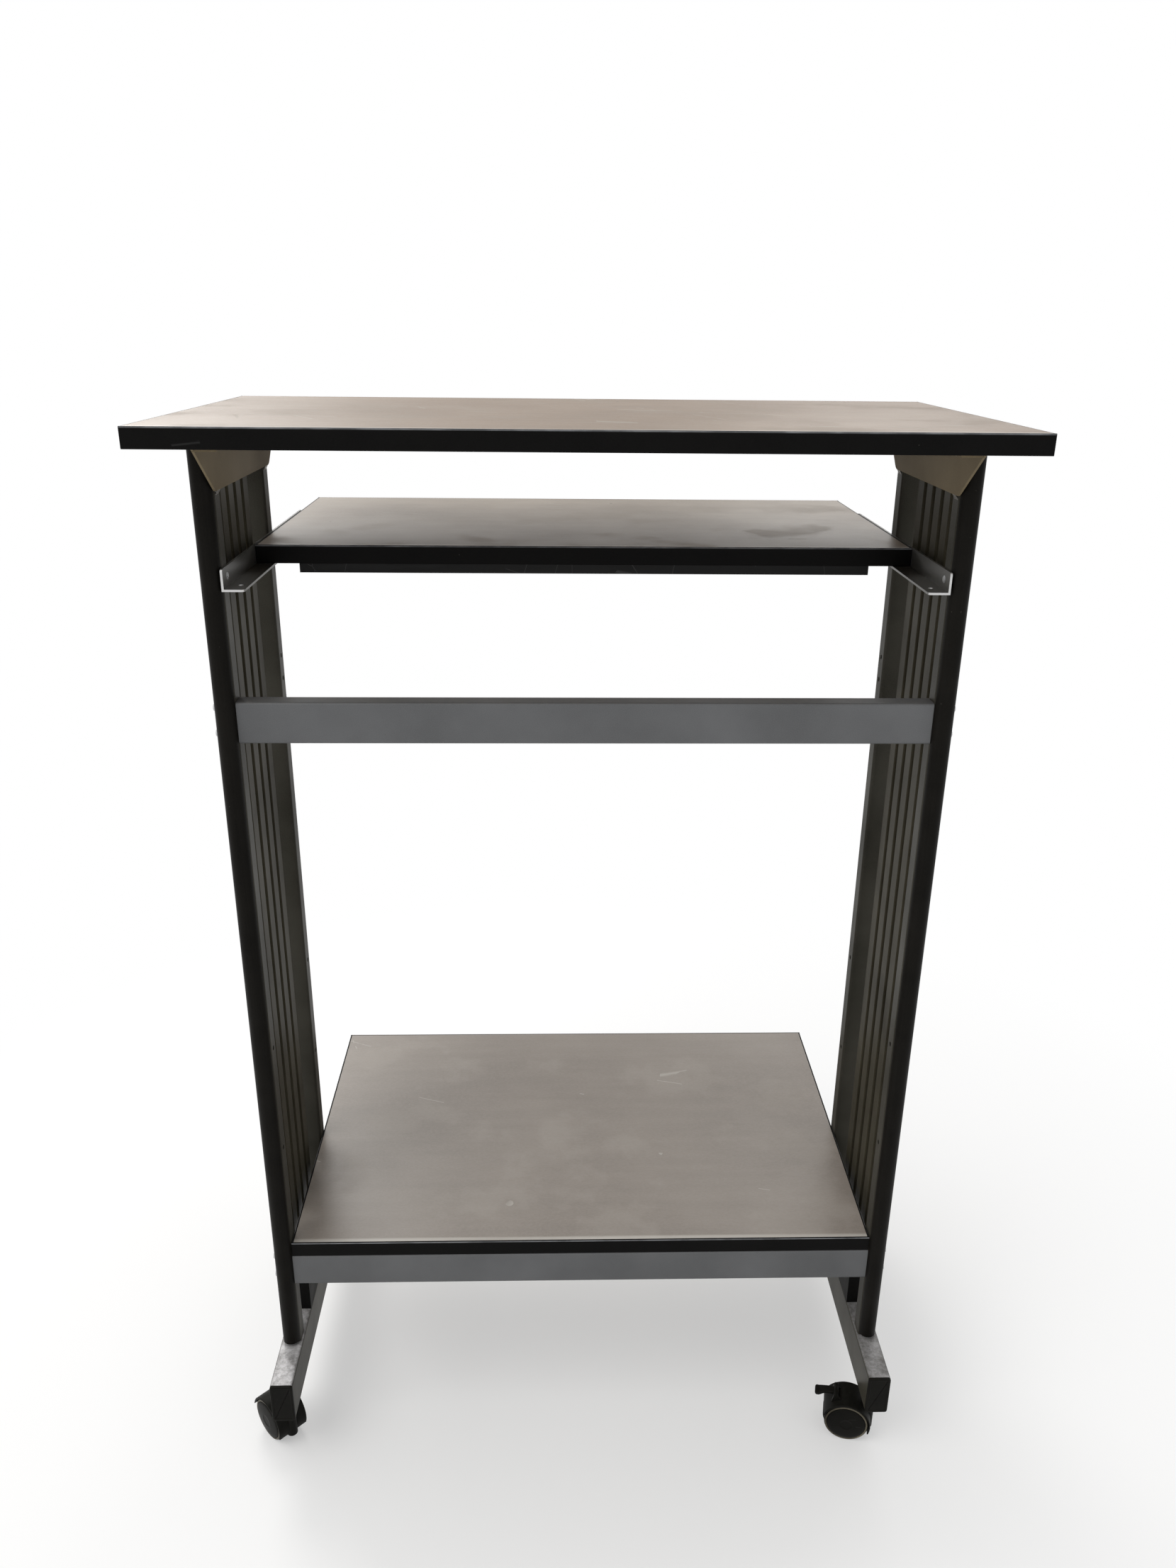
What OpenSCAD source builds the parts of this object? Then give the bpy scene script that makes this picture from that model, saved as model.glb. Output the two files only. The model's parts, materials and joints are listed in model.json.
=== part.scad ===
/* [Boards] */
// Width of the desktop
desk_w = 756; // [700:1:900]
// Depth of the desktop
desk_d = 400; // [340:1:480]
// Height of the desktop's top face above the floor
desk_h = 1130; // [1080:1:1200]
// How far the desktop reaches past the posts at the rail side
desk_reach = 57; // [20:1:100]
// Thickness of each board
board_t = 18; // [15:0.5:25]
// Thickness of the edging strips
edging_t = 2; // [1:0.5:3]
// Radius of the edging's outer corners
edging_r = 1; // [0.5:0.1:1]
// Depth of the lower shelf
shelf_d = 413.5; // [340:0.5:460]
// Depth of the keyboard tray
tray_d = 331; // [280:1:360]
// How far the tray stands out past the desktop when it is pulled out
tray_out = 103; // [60:1:110]
// Gap between the desktop's underside and the tray's top face
tray_space = 106; // [94:1:160]
// Gap between a board's end and the piece beside it
board_gap = 0.4; // [0.3:0.1:0.8]

/* [Side frames] */
// Distance between the centre planes of the two side frames
frame_span = 667; // [600:1:680]
// Depth of a side frame over its two posts
frame_d = 203; // [190:1:260]
// Width of a post tube, across the desk
post_w = 20; // [18:1:22]
// Depth of a post tube, front to back
post_d = 20; // [18:1:24]
// Wall of the post tubes
post_wall = 1.2; // [1:0.1:1.5]
// Corner radius of the post tubes
post_r = 3; // [2:0.1:3]
// Wall of the half-round post covers
nose_wall = 2; // [1.5:0.1:2.5]
// Width of the post covers
nose_w = 19; // [16:0.5:20]
// How far the post covers stand out from the posts
nose_d = 8; // [6:0.5:8]
// How far the post covers end above the feet
nose_lift = 4; // [0:0.5:8]
// Number of slats in a side frame
slat_count = 4; // [3:1:4]
// Width of a slat
slat_w = 20; // [16:1:20]
// Thickness of a slat
slat_t = 10; // [6:1:10]
// Wall of a slat
slat_wall = 1; // [0.8:0.1:1.2]
// Gap between two slats
slat_gap = 7.5; // [6:0.5:8]
// How far the slats' inner faces lie behind the posts' inner faces
slat_setback = 8.5; // [7:0.5:9]
// Height of the shoes that hold the slats on the feet
shoe_h = 50; // [30:1:55]
// Height of the blocks that hold the slats under the desktop
head_h = 30; // [24:1:32]
// How deep a slat goes into its shoe and its head
slat_entry = 15; // [10:1:18]
// Clearance around a slat in its socket
socket_gap = 0.2; // [0.1:0.05:0.3]

/* [Rails] */
// Height of a cross rail's section
rail_h = 40; // [36:1:45]
// Thickness of a cross rail's section
rail_t = 20; // [18:1:20]
// Wall of the cross rails
rail_wall = 1.5; // [1.2:0.1:2]
// Corner radius of the cross rails
rail_r = 2.4; // [2:0.1:3]
// Distance from the desktop's underside down to the middle rail's underside
mid_rail_drop = 270; // [200:1:400]
// Height of the lower rail's underside
low_rail_z = 196; // [170:1:260]
// Thickness of the plates welded into the rail ends
end_plate_t = 3; // [2:0.5:4]
// Distance between the two bolts at a rail's end
bolt_pitch = 25; // [22:1:25]
// Height of the lower spare hole in the posts
spare_hole_1 = 377; // [350:1:400]
// Height of the upper spare hole in the posts
spare_hole_2 = 503; // [450:1:600]
// Radius of the holes in the posts
post_hole_r = 2.6; // [2.6:0.1:2.8]
// Radius of a frame bolt's shank
bolt_r = 2.4; // [2.2:0.1:2.5]

/* [Angles and gussets] */
// Width of both legs of the tray runners and shelf bearers
angle_leg = 20; // [18:1:22]
// Thickness of the runners and bearers
angle_t = 2; // [1.5:0.1:2.5]
// Corner radius at the front end of a runner's legs
angle_end_r = 3; // [2:0.5:6]
// How far a runner's front end reaches past the post
runner_reach = 6.5; // [4:0.5:8]
// Radius of the hole near the front end of a runner
stop_hole_r = 2.5; // [2:0.1:3]
// Distance from the runner's front end to the centre of that hole
stop_hole_in = 20; // [12:1:30]
// How far the shelf bearers stop short of the shelf's far edge
bearer_short = 14; // [8:1:40]
// Height of the gusset plates
gusset_h = 40; // [34:1:45]
// How far a gusset's upper edge reaches past the front post
gusset_front_reach = 54; // [30:1:56]
// How far a gusset's upper edge reaches past the rear post
gusset_rear_reach = 42; // [30:1:50]
// Thickness of a gusset plate
gusset_t = 2; // [1.5:0.1:2.5]
// Width of the gusset's flange under the desktop
gusset_flange = 20; // [16:1:24]

/* [Feet and casters] */
// Length of a foot
foot_l = 413; // [390:1:440]
// How far a foot reaches past the posts at the rail side
foot_reach = 63.5; // [60:0.5:80]
// Width of a foot tube
foot_w = 25; // [24:1:28]
// Height of a foot tube
foot_h = 50; // [40:1:55]
// Wall of a foot tube
foot_wall = 1.5; // [1.2:0.1:2]
// Corner radius of a foot tube
foot_r = 2.5; // [2:0.1:3]
// Height of the foot's underside above the floor
caster_h = 61; // [61:1:70]
// Distance from a foot's end to the caster stem
stem_in = 27; // [25:1:34]
// Diameter of a caster wheel
wheel_d = 50; // [48:0.5:50]
// Width of one of a caster's two wheels
wheel_w = 12.5; // [10:0.5:13]
// Distance from the swivel axis to the wheel axle
trail = 24; // [22:0.5:25]
// Thickness of the web between a caster's wheels
web_t = 13; // [12:0.5:14]
// Wall of the caster's hood
hood_wall = 1.6; // [1.2:0.1:2]
// Gap between the hood and the wheels' treads
hood_gap = 0.9; // [0.7:0.1:1.2]
// Radius of the wheel axle
axle_r = 3; // [2.5:0.1:3.5]
// Radius of the swivel stem
stem_r = 4; // [3.5:0.1:4.5]
// Radial clearance of the running fits
run_gap = 0.05; // [0.03:0.01:0.08]
// Directions in which the casters trail: left and right at the rail side, left and right at the other
caster_turns = [134, 166, 100, 75];

/* [Hidden] */

// Colours
laminate = [0.72, 0.69, 0.65];
edge_black = [0.08, 0.08, 0.08];
silver = [0.62, 0.63, 0.64];
zinc = [0.75, 0.76, 0.77];
plastic_black = [0.1, 0.1, 0.1];
steel = [0.6, 0.6, 0.6];

// Side frames: x of the centre plane and the inner faces, y of the front and rear posts
frame_x = frame_span / 2;
inner_x = frame_x - post_w / 2;
outer_x = frame_x + post_w / 2;
front_y = -frame_d / 2;
rear_y = frame_d / 2;
post_y = rear_y - post_d / 2;

// Boards
desk_under = desk_h - board_t;
mid_rail_z = desk_under - mid_rail_drop;
desk_y0 = front_y - desk_reach;
desk_y1 = desk_y0 + desk_d;
shelf_z = low_rail_z + rail_h;
shelf_w = 2 * (inner_x - board_gap);
shelf_y0 = front_y;
shelf_y1 = shelf_y0 + shelf_d;
tray_w = 2 * (inner_x - angle_t - board_gap);
tray_z = desk_under - tray_space - board_t;
tray_y1 = desk_y1 + tray_out;
tray_y0 = tray_y1 - tray_d;

// Feet
foot_top = caster_h + foot_h;
foot_y0 = front_y - foot_reach;
foot_y1 = foot_y0 + foot_l;
stem_ys = [foot_y0 + stem_in, foot_y1 - stem_in];
cap_t = 3;
cap_plug = 12;

// Post covers
nose_r = (nose_w * nose_w / 4 + nose_d * nose_d) / 2 / nose_d;

// Slats
slat_step = slat_w + slat_gap;
slat_x = inner_x + slat_setback + slat_t / 2;
shoe_end = 1.2;
shoe_l = slat_count * slat_step - slat_gap + 2 * shoe_end;
shoe_edge = 1.5;
head_w = 13;

// Bolts and screws
rail_bolt_zs = [for (z = [low_rail_z, mid_rail_z], s = [-1, 1]) z + rail_h / 2 + s * bolt_pitch / 2];
post_hole_zs = concat(rail_bolt_zs, [spare_hole_1, spare_hole_2]);
bearer_bolt_z = rail_bolt_zs[1];
bolt_grip = 9;
bolt_head_r = 4.8;
bolt_head_h = 2.8;
nut_across = 8;
nut_t = 4;
bolt_hole_gap = 0.05;
csk_head_r = 3.8;
csk_r = 2;
csk_l = 10;
runner_screw_z = tray_z + 9;
pan_head_r = 4.6;
pan_head_h = 2.2;
wood_r = 1.7;
wood_l = 13;
pilot_gap = 0.05;
gusset_wood_ys = [front_y - 18.5, 0, rear_y + 18.5];
bearer_wood_ys = [0, rear_y + 60];

// Gussets
gusset_y0 = front_y - gusset_front_reach;
gusset_y1 = rear_y + gusset_rear_reach;
gusset_r = 3;

// Welds
foot_weld = 2.2;
gusset_weld = 4;
gusset_weld_l = 10;

// Runners
runner_y0 = front_y - runner_reach;
runner_y1 = desk_y1;
bearer_y0 = front_y + rail_t + board_gap;
bearer_y1 = shelf_y1 - bearer_short;

// Strip under the tray's inner edge
stiff_l = 560;
stiff_h = 9;
stiff_w = 24;
stiff_t = 1.2;
stiff_in = 1.5;
stiff_bevel = 5;
stiff_screw_xs = [-210, -70, 70, 210];

// Casters
wheel_r = wheel_d / 2;
wheel_gap = 0.5;
wheel_out = web_t / 2 + wheel_gap + wheel_w;
hood_in = wheel_r + hood_gap;
hood_r = hood_in + hood_wall;
hood_half = wheel_out - 1.6;
hood_from = 15;
hood_to = 200;
web_under = wheel_r - 13;
swivel_gap = 0.4;
collar_h = 4;
boss_top = caster_h - collar_h - swivel_gap;
boss_r = web_t / 2 - 0.4;
collar_r = 7.5;
stem_under = wheel_r - 8;
stem_top = caster_h + foot_wall + 12;
nut_h = 6.5;
stem_nut_across = 13;
hood_collar_r = 8;
lever_at = trail + 14;
lever_z = wheel_r + 29.5;
lever_tip = 64;
lever_rise = 2.2;
lever_t = 3.4;
lever_w = 12.6;
lever_hub_r = 3;
lug_t = 2.6;
lug_gap = 0.3;
lug_foot_r = hood_in + hood_wall / 2;
trunnion_r = 1.4;

// Points of a round corner of radius r at b, between the lines to a and c
function unit(v) = v / norm(v);
function fillet(a, b, c, r, steps = 6) =
    let (u = unit(a - b), v = unit(c - b), half = acos(u * v) / 2)
    let (m = b + unit(u + v) * r / sin(half), s = b + u * r / tan(half) - m, e = b + v * r / tan(half) - m)
    let (from = atan2(s[1], s[0]), past = atan2(e[1], e[0]) - from, turn = past - 360 * round(past / 360))
    [for (i = [0 : steps]) m + r * [cos(from + turn * i / steps), sin(from + turn * i / steps)]];

// Outline through the points p, each rounded by the radius of the same place in rs
function rounded(p, rs, steps = 6) =
    [for (i = [0 : len(p) - 1], q = rs[i] > 0
        ? fillet(p[(i + len(p) - 1) % len(p)], p[i], p[(i + 1) % len(p)], rs[i], steps)
        : [p[i]]) q];

module rounded_rect(w, h, r) {
    polygon(rounded([[w / 2, h / 2], [-w / 2, h / 2], [-w / 2, -h / 2], [w / 2, -h / 2]], [r, r, r, r]));
}

// Tube of outer size w by h along Z
module tube(w, h, l, wall, r) {
    linear_extrude(l) difference() {
        rounded_rect(w, h, r);
        rounded_rect(w - 2 * wall, h - 2 * wall, r - wall);
    }
}

// Turns a Z-up shape so that it runs along Y
module along_y() {
    rotate([90, 0, 0]) mirror([0, 0, 1]) children();
}

// Copies a piece of the right side frame to side s, -1 for left and 1 for right
module on_side(s) {
    if (s > 0) children(); else mirror([1, 0, 0]) children();
}

// Flat board between two corners, without its edging
module board(w, y0, y1, z) {
    translate([-w / 2 + edging_t, y0 + edging_t, z])
        cube([w - 2 * edging_t, y1 - y0 - 2 * edging_t, board_t]);
}

// Edging strip of length l along X, with its rounded face towards -Y
module edging_strip(l) {
    translate([-l / 2, 0, 0]) rotate([90, 0, 90]) linear_extrude(l)
        polygon(rounded([[0, 0], [edging_t, 0], [edging_t, board_t], [0, board_t]], [edging_r, 0, 0, edging_r]));
}

// The four strips round a board
module edging(w, y0, y1, z) {
    depth = y1 - y0 - 2 * edging_t;
    translate([0, y0, z]) edging_strip(w);
    translate([0, y1, z]) rotate(180) edging_strip(w);
    for (s = [-1, 1])
        translate([s * w / 2, (y0 + y1) / 2, z]) rotate(s * 90) edging_strip(depth);
}

// Pan-head wood screw that points up, with its head's flat side at the origin
module wood_screw() {
    cylinder(h = wood_l - 3, r = wood_r, $fn = 24);
    translate([0, 0, wood_l - 3]) cylinder(h = 3, r1 = wood_r, r2 = 0.4, $fn = 24);
    translate([0, 0, -pan_head_h]) cylinder(h = pan_head_h, r1 = pan_head_r - 1.2, r2 = pan_head_r, $fn = 24);
}

module pilot() {
    translate([0, 0, -1]) cylinder(h = wood_l + 1.5, r = wood_r + pilot_gap, $fn = 24);
}

module at_gusset_wood() {
    for (s = [-1, 1], y = gusset_wood_ys)
        translate([s * (inner_x - gusset_flange / 2), y, desk_under - gusset_t]) children();
}

module at_bearer_wood() {
    for (s = [-1, 1], y = bearer_wood_ys)
        translate([s * (inner_x - angle_leg / 2), y, shelf_z - angle_t]) children();
}

module at_stiffener_screws() {
    for (x = stiff_screw_xs)
        translate([x, tray_y0 + stiff_in + stiff_w / 2 + 3, tray_z - stiff_t]) children();
}

module desktop() {
    color(laminate) difference() {
        board(desk_w, desk_y0, desk_y1, desk_under);
        at_gusset_wood() pilot();
    }
}

module desktop_edging() {
    color(edge_black) edging(desk_w, desk_y0, desk_y1, desk_under);
}

module shelf() {
    color(laminate) difference() {
        board(shelf_w, shelf_y0, shelf_y1, shelf_z);
        at_bearer_wood() pilot();
    }
}

module shelf_edging() {
    color(edge_black) edging(shelf_w, shelf_y0, shelf_y1, shelf_z);
}

module tray() {
    color(laminate) difference() {
        board(tray_w, tray_y0, tray_y1, tray_z);
        at_stiffener_screws() pilot();
    }
}

module tray_edging() {
    color(edge_black) edging(tray_w, tray_y0, tray_y1, tray_z);
}

// Folded strip under the tray, with both ends cut off at a slant
module tray_stiffener() {
    l = stiff_l / 2;
    color([0.2, 0.2, 0.2]) difference() {
        translate([-l, tray_y0 + stiff_in, tray_z]) rotate([90, 0, 90]) linear_extrude(stiff_l)
            polygon([
                [0, 0], [0, -stiff_h], [8, -stiff_h], [8, -stiff_h + stiff_t], [stiff_t, -stiff_h + stiff_t],
                [stiff_t, -stiff_t], [stiff_w, -stiff_t], [stiff_w, 0]
            ]);
        for (s = [-1, 1])
            translate([s * l, tray_y0, tray_z - stiff_h]) rotate([0, s * 30, 0])
                translate([s * 10 - 10 + s * 2, -1, -10]) cube([20, stiff_w + 4, 30]);
        at_stiffener_screws() pilot();
    }
}

module stiffener_screws() {
    color(steel) at_stiffener_screws() wood_screw();
}

module wood_screws() {
    color(steel) {
        at_gusset_wood() wood_screw();
        at_bearer_wood() wood_screw();
    }
}

// Post tube at side s, front (-1) or rear (1), with its row of cross holes
module post(s, f) {
    color(silver) on_side(s) difference() {
        translate([frame_x, f * post_y, foot_top]) tube(post_w, post_d, desk_under - foot_top, post_wall, post_r);
        for (z = post_hole_zs)
            translate([inner_x - 1, f * post_y, z]) rotate([0, 90, 0]) cylinder(h = post_w + 2, r = post_hole_r, $fn = 32);
        translate([inner_x - 1, f * post_y, runner_screw_z])
            rotate([0, 90, 0]) cylinder(h = post_wall + 2, r = csk_r + bolt_hole_gap, $fn = 32);
    }
}

// The part of a disc beyond the line y, on its +Y side, with the disc's centre at centre_y
module disc_part(r, centre_y, y) {
    intersection() {
        translate([0, centre_y]) circle(r = r, $fn = 64);
        translate([-r, y]) square([2 * r, 2 * r]);
    }
}

// Hollow rounded cover on a post's outward face
module nose(s, f) {
    color(plastic_black) on_side(s) translate([frame_x, f * frame_d / 2, foot_top + nose_lift])
        mirror([0, f < 0 ? 1 : 0, 0]) linear_extrude(desk_under - foot_top - nose_lift) difference() {
            disc_part(nose_r, nose_d - nose_r, 0);
            disc_part(nose_r - nose_wall, nose_d - nose_r, nose_wall);
        }
}

function slat_y(i) = (i - (slat_count - 1) / 2) * slat_step;

module slats(s) {
    z0 = foot_top + shoe_h - slat_entry;
    color(silver) on_side(s) for (i = [0 : slat_count - 1])
        translate([slat_x, slat_y(i), z0])
            tube(slat_t, slat_w, desk_under - head_h + slat_entry - z0, slat_wall, slat_wall + 0.8);
}

// Pockets for the slats, upwards from z
module slat_pockets(z, h) {
    for (i = [0 : slat_count - 1])
        translate([slat_x - slat_t / 2 - socket_gap, slat_y(i) - slat_w / 2 - socket_gap, z])
            cube([slat_t + 2 * socket_gap, slat_w + 2 * socket_gap, h]);
}

// Moulded shoe on the foot, with its upper edges chamfered
module slat_shoe(s) {
    c = shoe_edge;
    color(plastic_black) on_side(s) difference() {
        translate([frame_x - foot_w / 2, shoe_l / 2, foot_top]) rotate([90, 0, 0]) linear_extrude(shoe_l)
            polygon([[0, 0], [foot_w, 0], [foot_w, shoe_h - c], [foot_w - c, shoe_h], [c, shoe_h], [0, shoe_h - c]]);
        slat_pockets(foot_top + shoe_h - slat_entry, slat_entry + 1);
    }
}

module slat_heads() {
    color(plastic_black) for (s = [-1, 1]) on_side(s) difference() {
        translate([slat_x - head_w / 2, -shoe_l / 2, desk_under - head_h]) cube([head_w, shoe_l, head_h]);
        slat_pockets(desk_under - head_h - 1, slat_entry + 1);
    }
}

module rail(z) {
    color(silver) translate([-inner_x, front_y + rail_t / 2, z + rail_h / 2])
        rotate([0, 90, 0]) tube(rail_h, rail_t, 2 * inner_x, rail_wall, rail_r);
}

module mid_rail() {
    rail(mid_rail_z);
}

module lower_rail() {
    rail(low_rail_z);
}

module rail_end_plates() {
    color(steel) for (s = [-1, 1], z = [low_rail_z, mid_rail_z]) on_side(s) difference() {
        translate([inner_x - end_plate_t, front_y + rail_t / 2, z + rail_h / 2]) rotate([0, 90, 0])
            linear_extrude(end_plate_t)
                rounded_rect(rail_h - 2 * rail_wall, rail_t - 2 * rail_wall, rail_r - rail_wall);
        for (b = [-1, 1])
            translate([inner_x - end_plate_t - 1, front_y + rail_t / 2, z + rail_h / 2 + b * bolt_pitch / 2])
                rotate([0, 90, 0]) cylinder(h = end_plate_t + 2, r = bolt_r + bolt_hole_gap, $fn = 32);
    }
}

// Button-head bolt along -X, with its head's flat side at the origin
module frame_bolt(l) {
    rotate([0, -90, 0]) cylinder(h = l, r = bolt_r, $fn = 32);
    rotate([0, 90, 0]) difference() {
        cylinder(h = bolt_head_h, r1 = bolt_head_r, r2 = bolt_head_r - 1.6, $fn = 32);
        translate([0, 0, bolt_head_h - 1.5]) cylinder(h = 2, r = 1.8, $fn = 6);
    }
}

module frame_bolts() {
    color(steel) for (s = [-1, 1]) on_side(s) {
        for (z = rail_bolt_zs)
            translate([outer_x, front_y + rail_t / 2, z]) frame_bolt(post_w + bolt_grip);
        translate([outer_x, post_y, bearer_bolt_z]) frame_bolt(post_w + angle_t + nut_t + 1);
    }
}

module bearer_nuts() {
    color(steel) for (s = [-1, 1]) on_side(s)
        translate([inner_x - angle_t - nut_t, post_y, bearer_bolt_z]) rotate([0, 90, 0]) difference() {
            cylinder(h = nut_t, r = nut_across / 2 / cos(30), $fn = 6);
            translate([0, 0, -1]) cylinder(h = nut_t + 2, r = bolt_r + bolt_hole_gap, $fn = 32);
        }
}

// Steel angle from y0 to y1: one leg against the posts, the other inwards at its lower or upper edge
module angle(y0, y1, z, leg_down) {
    h = leg_down ? -angle_leg : 0;
    translate([inner_x - angle_t, y0, z + h]) cube([angle_t, y1 - y0, angle_leg]);
    translate([inner_x - angle_leg, y0, leg_down ? z - angle_t : z]) cube([angle_leg, y1 - y0, angle_t]);
}

module bearer(s) {
    color(zinc) on_side(s) difference() {
        angle(bearer_y0, bearer_y1, shelf_z, true);
        translate([inner_x - angle_t - 1, post_y, bearer_bolt_z])
            rotate([0, 90, 0]) cylinder(h = angle_t + 2, r = post_hole_r, $fn = 32);
        for (y = bearer_wood_ys)
            translate([inner_x - angle_leg / 2, y, shelf_z - angle_t - 1])
                cylinder(h = angle_t + 2, r = wood_r + 0.3, $fn = 24);
    }
}

// Outline of one runner leg, with both corners of its free edge rounded
module runner_leg(l) {
    polygon(rounded([[0, 0], [0, angle_leg], [l, angle_leg], [l, 0]], [0, angle_end_r, angle_end_r, 0]));
}

module runner(s) {
    l = runner_y1 - runner_y0;
    z = tray_z - angle_t;
    color(zinc) on_side(s) difference() {
        union() {
            translate([inner_x - angle_t, runner_y0, z]) rotate([90, 0, 90]) linear_extrude(angle_t) runner_leg(l);
            translate([inner_x, runner_y0, z]) rotate(90) linear_extrude(angle_t) runner_leg(l);
        }
        translate([inner_x - angle_t - angle_leg / 2, runner_y0 + stop_hole_in, z - 1])
            cylinder(h = angle_t + 2, r = stop_hole_r, $fn = 32);
        for (f = [-1, 1])
            translate([inner_x - angle_t, f * post_y, runner_screw_z]) rotate([0, 90, 0]) {
                cylinder(h = angle_t, r1 = csk_head_r, r2 = csk_r + 0.1, $fn = 32);
                cylinder(h = angle_t + 1, r = csk_r + bolt_hole_gap, $fn = 32);
            }
    }
}

module runner_screws() {
    color(steel) for (s = [-1, 1], f = [-1, 1]) on_side(s)
        translate([inner_x - angle_t, f * post_y, runner_screw_z]) rotate([0, 90, 0]) {
            translate([0, 0, 0.1]) cylinder(h = angle_t - 0.2, r1 = csk_head_r - 0.3, r2 = csk_r - 0.1, $fn = 32);
            translate([0, 0, 0.3]) cylinder(h = csk_l, r = csk_r, $fn = 32);
        }
}

// Plate under the desktop, against the inner faces of both posts, with a flange at its top
module gusset(s) {
    side = rounded([
        [gusset_y0, desk_under], [front_y, desk_under - gusset_h],
        [rear_y, desk_under - gusset_h], [gusset_y1, desk_under]
    ], [0, gusset_r, 4 * gusset_r, 0]);
    color(silver) on_side(s) difference() {
        union() {
            translate([inner_x - gusset_t, 0, 0]) rotate([90, 0, 90]) linear_extrude(gusset_t) polygon(side);
            translate([inner_x - gusset_flange, gusset_y0 + gusset_t, desk_under - gusset_t])
                cube([gusset_flange, gusset_y1 - gusset_y0 - 2 * gusset_t, gusset_t]);
        }
        for (y = gusset_wood_ys)
            translate([inner_x - gusset_flange / 2, y, desk_under - gusset_t - 1])
                cylinder(h = gusset_t + 2, r = wood_r + 0.3, $fn = 24);
    }
}

module foot(s) {
    color(silver) on_side(s) difference() {
        translate([frame_x, foot_y0 + cap_t, caster_h + foot_h / 2]) along_y()
            tube(foot_w, foot_h, foot_l - 2 * cap_t, foot_wall, foot_r);
        for (y = stem_ys)
            translate([frame_x, y, caster_h - 1]) cylinder(h = foot_wall + 2, r = stem_r + 0.1, $fn = 32);
    }
}

// End caps: a face as large as the tube, chamfered all round, and a hollow plug inside it
module foot_caps() {
    w = foot_w - 2 * foot_wall - 0.2;
    h = foot_h - 2 * foot_wall - 0.2;
    r = foot_r - foot_wall;
    color(plastic_black) for (s = [-1, 1], e = [-1, 1]) on_side(s)
        translate([frame_x, e < 0 ? foot_y0 : foot_y1, caster_h + foot_h / 2])
            mirror([0, e < 0 ? 0 : 1, 0]) along_y() {
                linear_extrude(1) rounded_rect(foot_w - 2, foot_h - 2, foot_r - 0.8);
                translate([0, 0, 1]) linear_extrude(cap_t - 1) rounded_rect(foot_w, foot_h, foot_r);
                translate([0, 0, cap_t]) tube(w, h, cap_plug, 1.6, r + 0.8);
            }
}

// Fillet welds: between each post and its foot, and under each gusset on both posts
module post_welds() {
    color(silver) for (s = [-1, 1], f = [-1, 1]) on_side(s) {
        translate([frame_x - post_w / 2 + post_r, f * (post_y - post_d / 2), foot_top])
            rotate([90, 0, 90]) linear_extrude(post_w - 2 * post_r)
                polygon([[0, 0], [-f * foot_weld, 0], [0, foot_weld]]);
        translate([inner_x, f * post_y + gusset_weld_l / 2, desk_under - gusset_h])
            rotate([90, 0, 0]) linear_extrude(gusset_weld_l)
                polygon([[0, 0], [-gusset_t, 0], [0, -gusset_weld]]);
    }
}

// Stem with its collar under the foot
module caster_stem() {
    translate([0, 0, stem_under]) cylinder(h = stem_top - stem_under, r = stem_r, $fn = 48);
    translate([0, 0, caster_h - collar_h]) cylinder(h = collar_h, r = collar_r, $fn = 48);
}

module at_stems() {
    for (s = [-1, 1], y = stem_ys) translate([s * frame_x, y, 0]) children();
}

module caster_stems() {
    color(steel) at_stems() caster_stem();
}

module stem_nuts() {
    color(steel) at_stems() translate([0, 0, caster_h + foot_wall]) difference() {
        cylinder(h = nut_h, r = stem_nut_across / 2 / cos(30), $fn = 6);
        translate([0, 0, -1]) cylinder(h = nut_h + 2, r = stem_r + bolt_hole_gap, $fn = 48);
    }
}

// Places a caster piece, drawn with the stem at the origin and the wheels towards +X.
// i counts left front, right front, left rear, right rear
module caster(i) {
    translate([(i % 2 == 0 ? -1 : 1) * frame_x, stem_ys[floor(i / 2)], 0]) rotate(caster_turns[i]) children();
}

// Arched hood over both treads, with the web, the stem's boss and, on a braked caster, two lugs
module hood(i, braked = false) {
    color(plastic_black) caster(i) difference() {
        union() {
            translate([trail, 0, wheel_r]) rotate([90, 0, 0]) rotate([0, 0, hood_from])
                rotate_extrude(angle = hood_to - hood_from, $fn = 96) translate([hood_in, -hood_half])
                    polygon(rounded([
                        [0, 0], [hood_wall, 0], [hood_wall, 2 * hood_half], [0, 2 * hood_half]
                    ], [0, 1, 1, 0], 3));
            intersection() {
                translate([trail, web_t / 2, wheel_r]) rotate([90, 0, 0])
                    cylinder(h = web_t, r = hood_in + hood_wall / 2, $fn = 96);
                translate([-5, -web_t, web_under]) cube([100, 2 * web_t, 100]);
            }
            translate([0, 0, web_under + 1]) cylinder(h = boss_top - web_under - 2, r = boss_r, $fn = 48);
            translate([0, 0, boss_top - 6]) cylinder(h = 6, r = hood_collar_r, $fn = 48);
            if (braked) for (t = [-1, 1]) brake_lug(t);
        }
        translate([0, 0, stem_under - swivel_gap])
            cylinder(h = caster_h, r = stem_r + run_gap, $fn = 48);
        translate([trail, web_t, wheel_r]) rotate([90, 0, 0]) cylinder(h = 2 * web_t, r = axle_r, $fn = 48);
        if (braked)
            translate([lever_at, hood_half, lever_z]) rotate([90, 0, 0])
                cylinder(h = 2 * hood_half, r = trunnion_r + run_gap, $fn = 32);
    }
}

// Ear that carries one end of the brake lever
module brake_lug(t) {
    y = t * (lever_w / 2 + lug_gap + lug_t / 2) + lug_t / 2;
    translate([lever_at, y, 0]) rotate([90, 0, 0]) linear_extrude(lug_t)
        polygon(concat(
            [for (a = [-10 : 10 : 190]) [lever_hub_r * cos(a), lever_z + lever_hub_r * sin(a)]],
            [for (a = [75 : -15 : 45]) [trail - lever_at + lug_foot_r * cos(a), wheel_r + lug_foot_r * sin(a)]]
        ));
}

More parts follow.
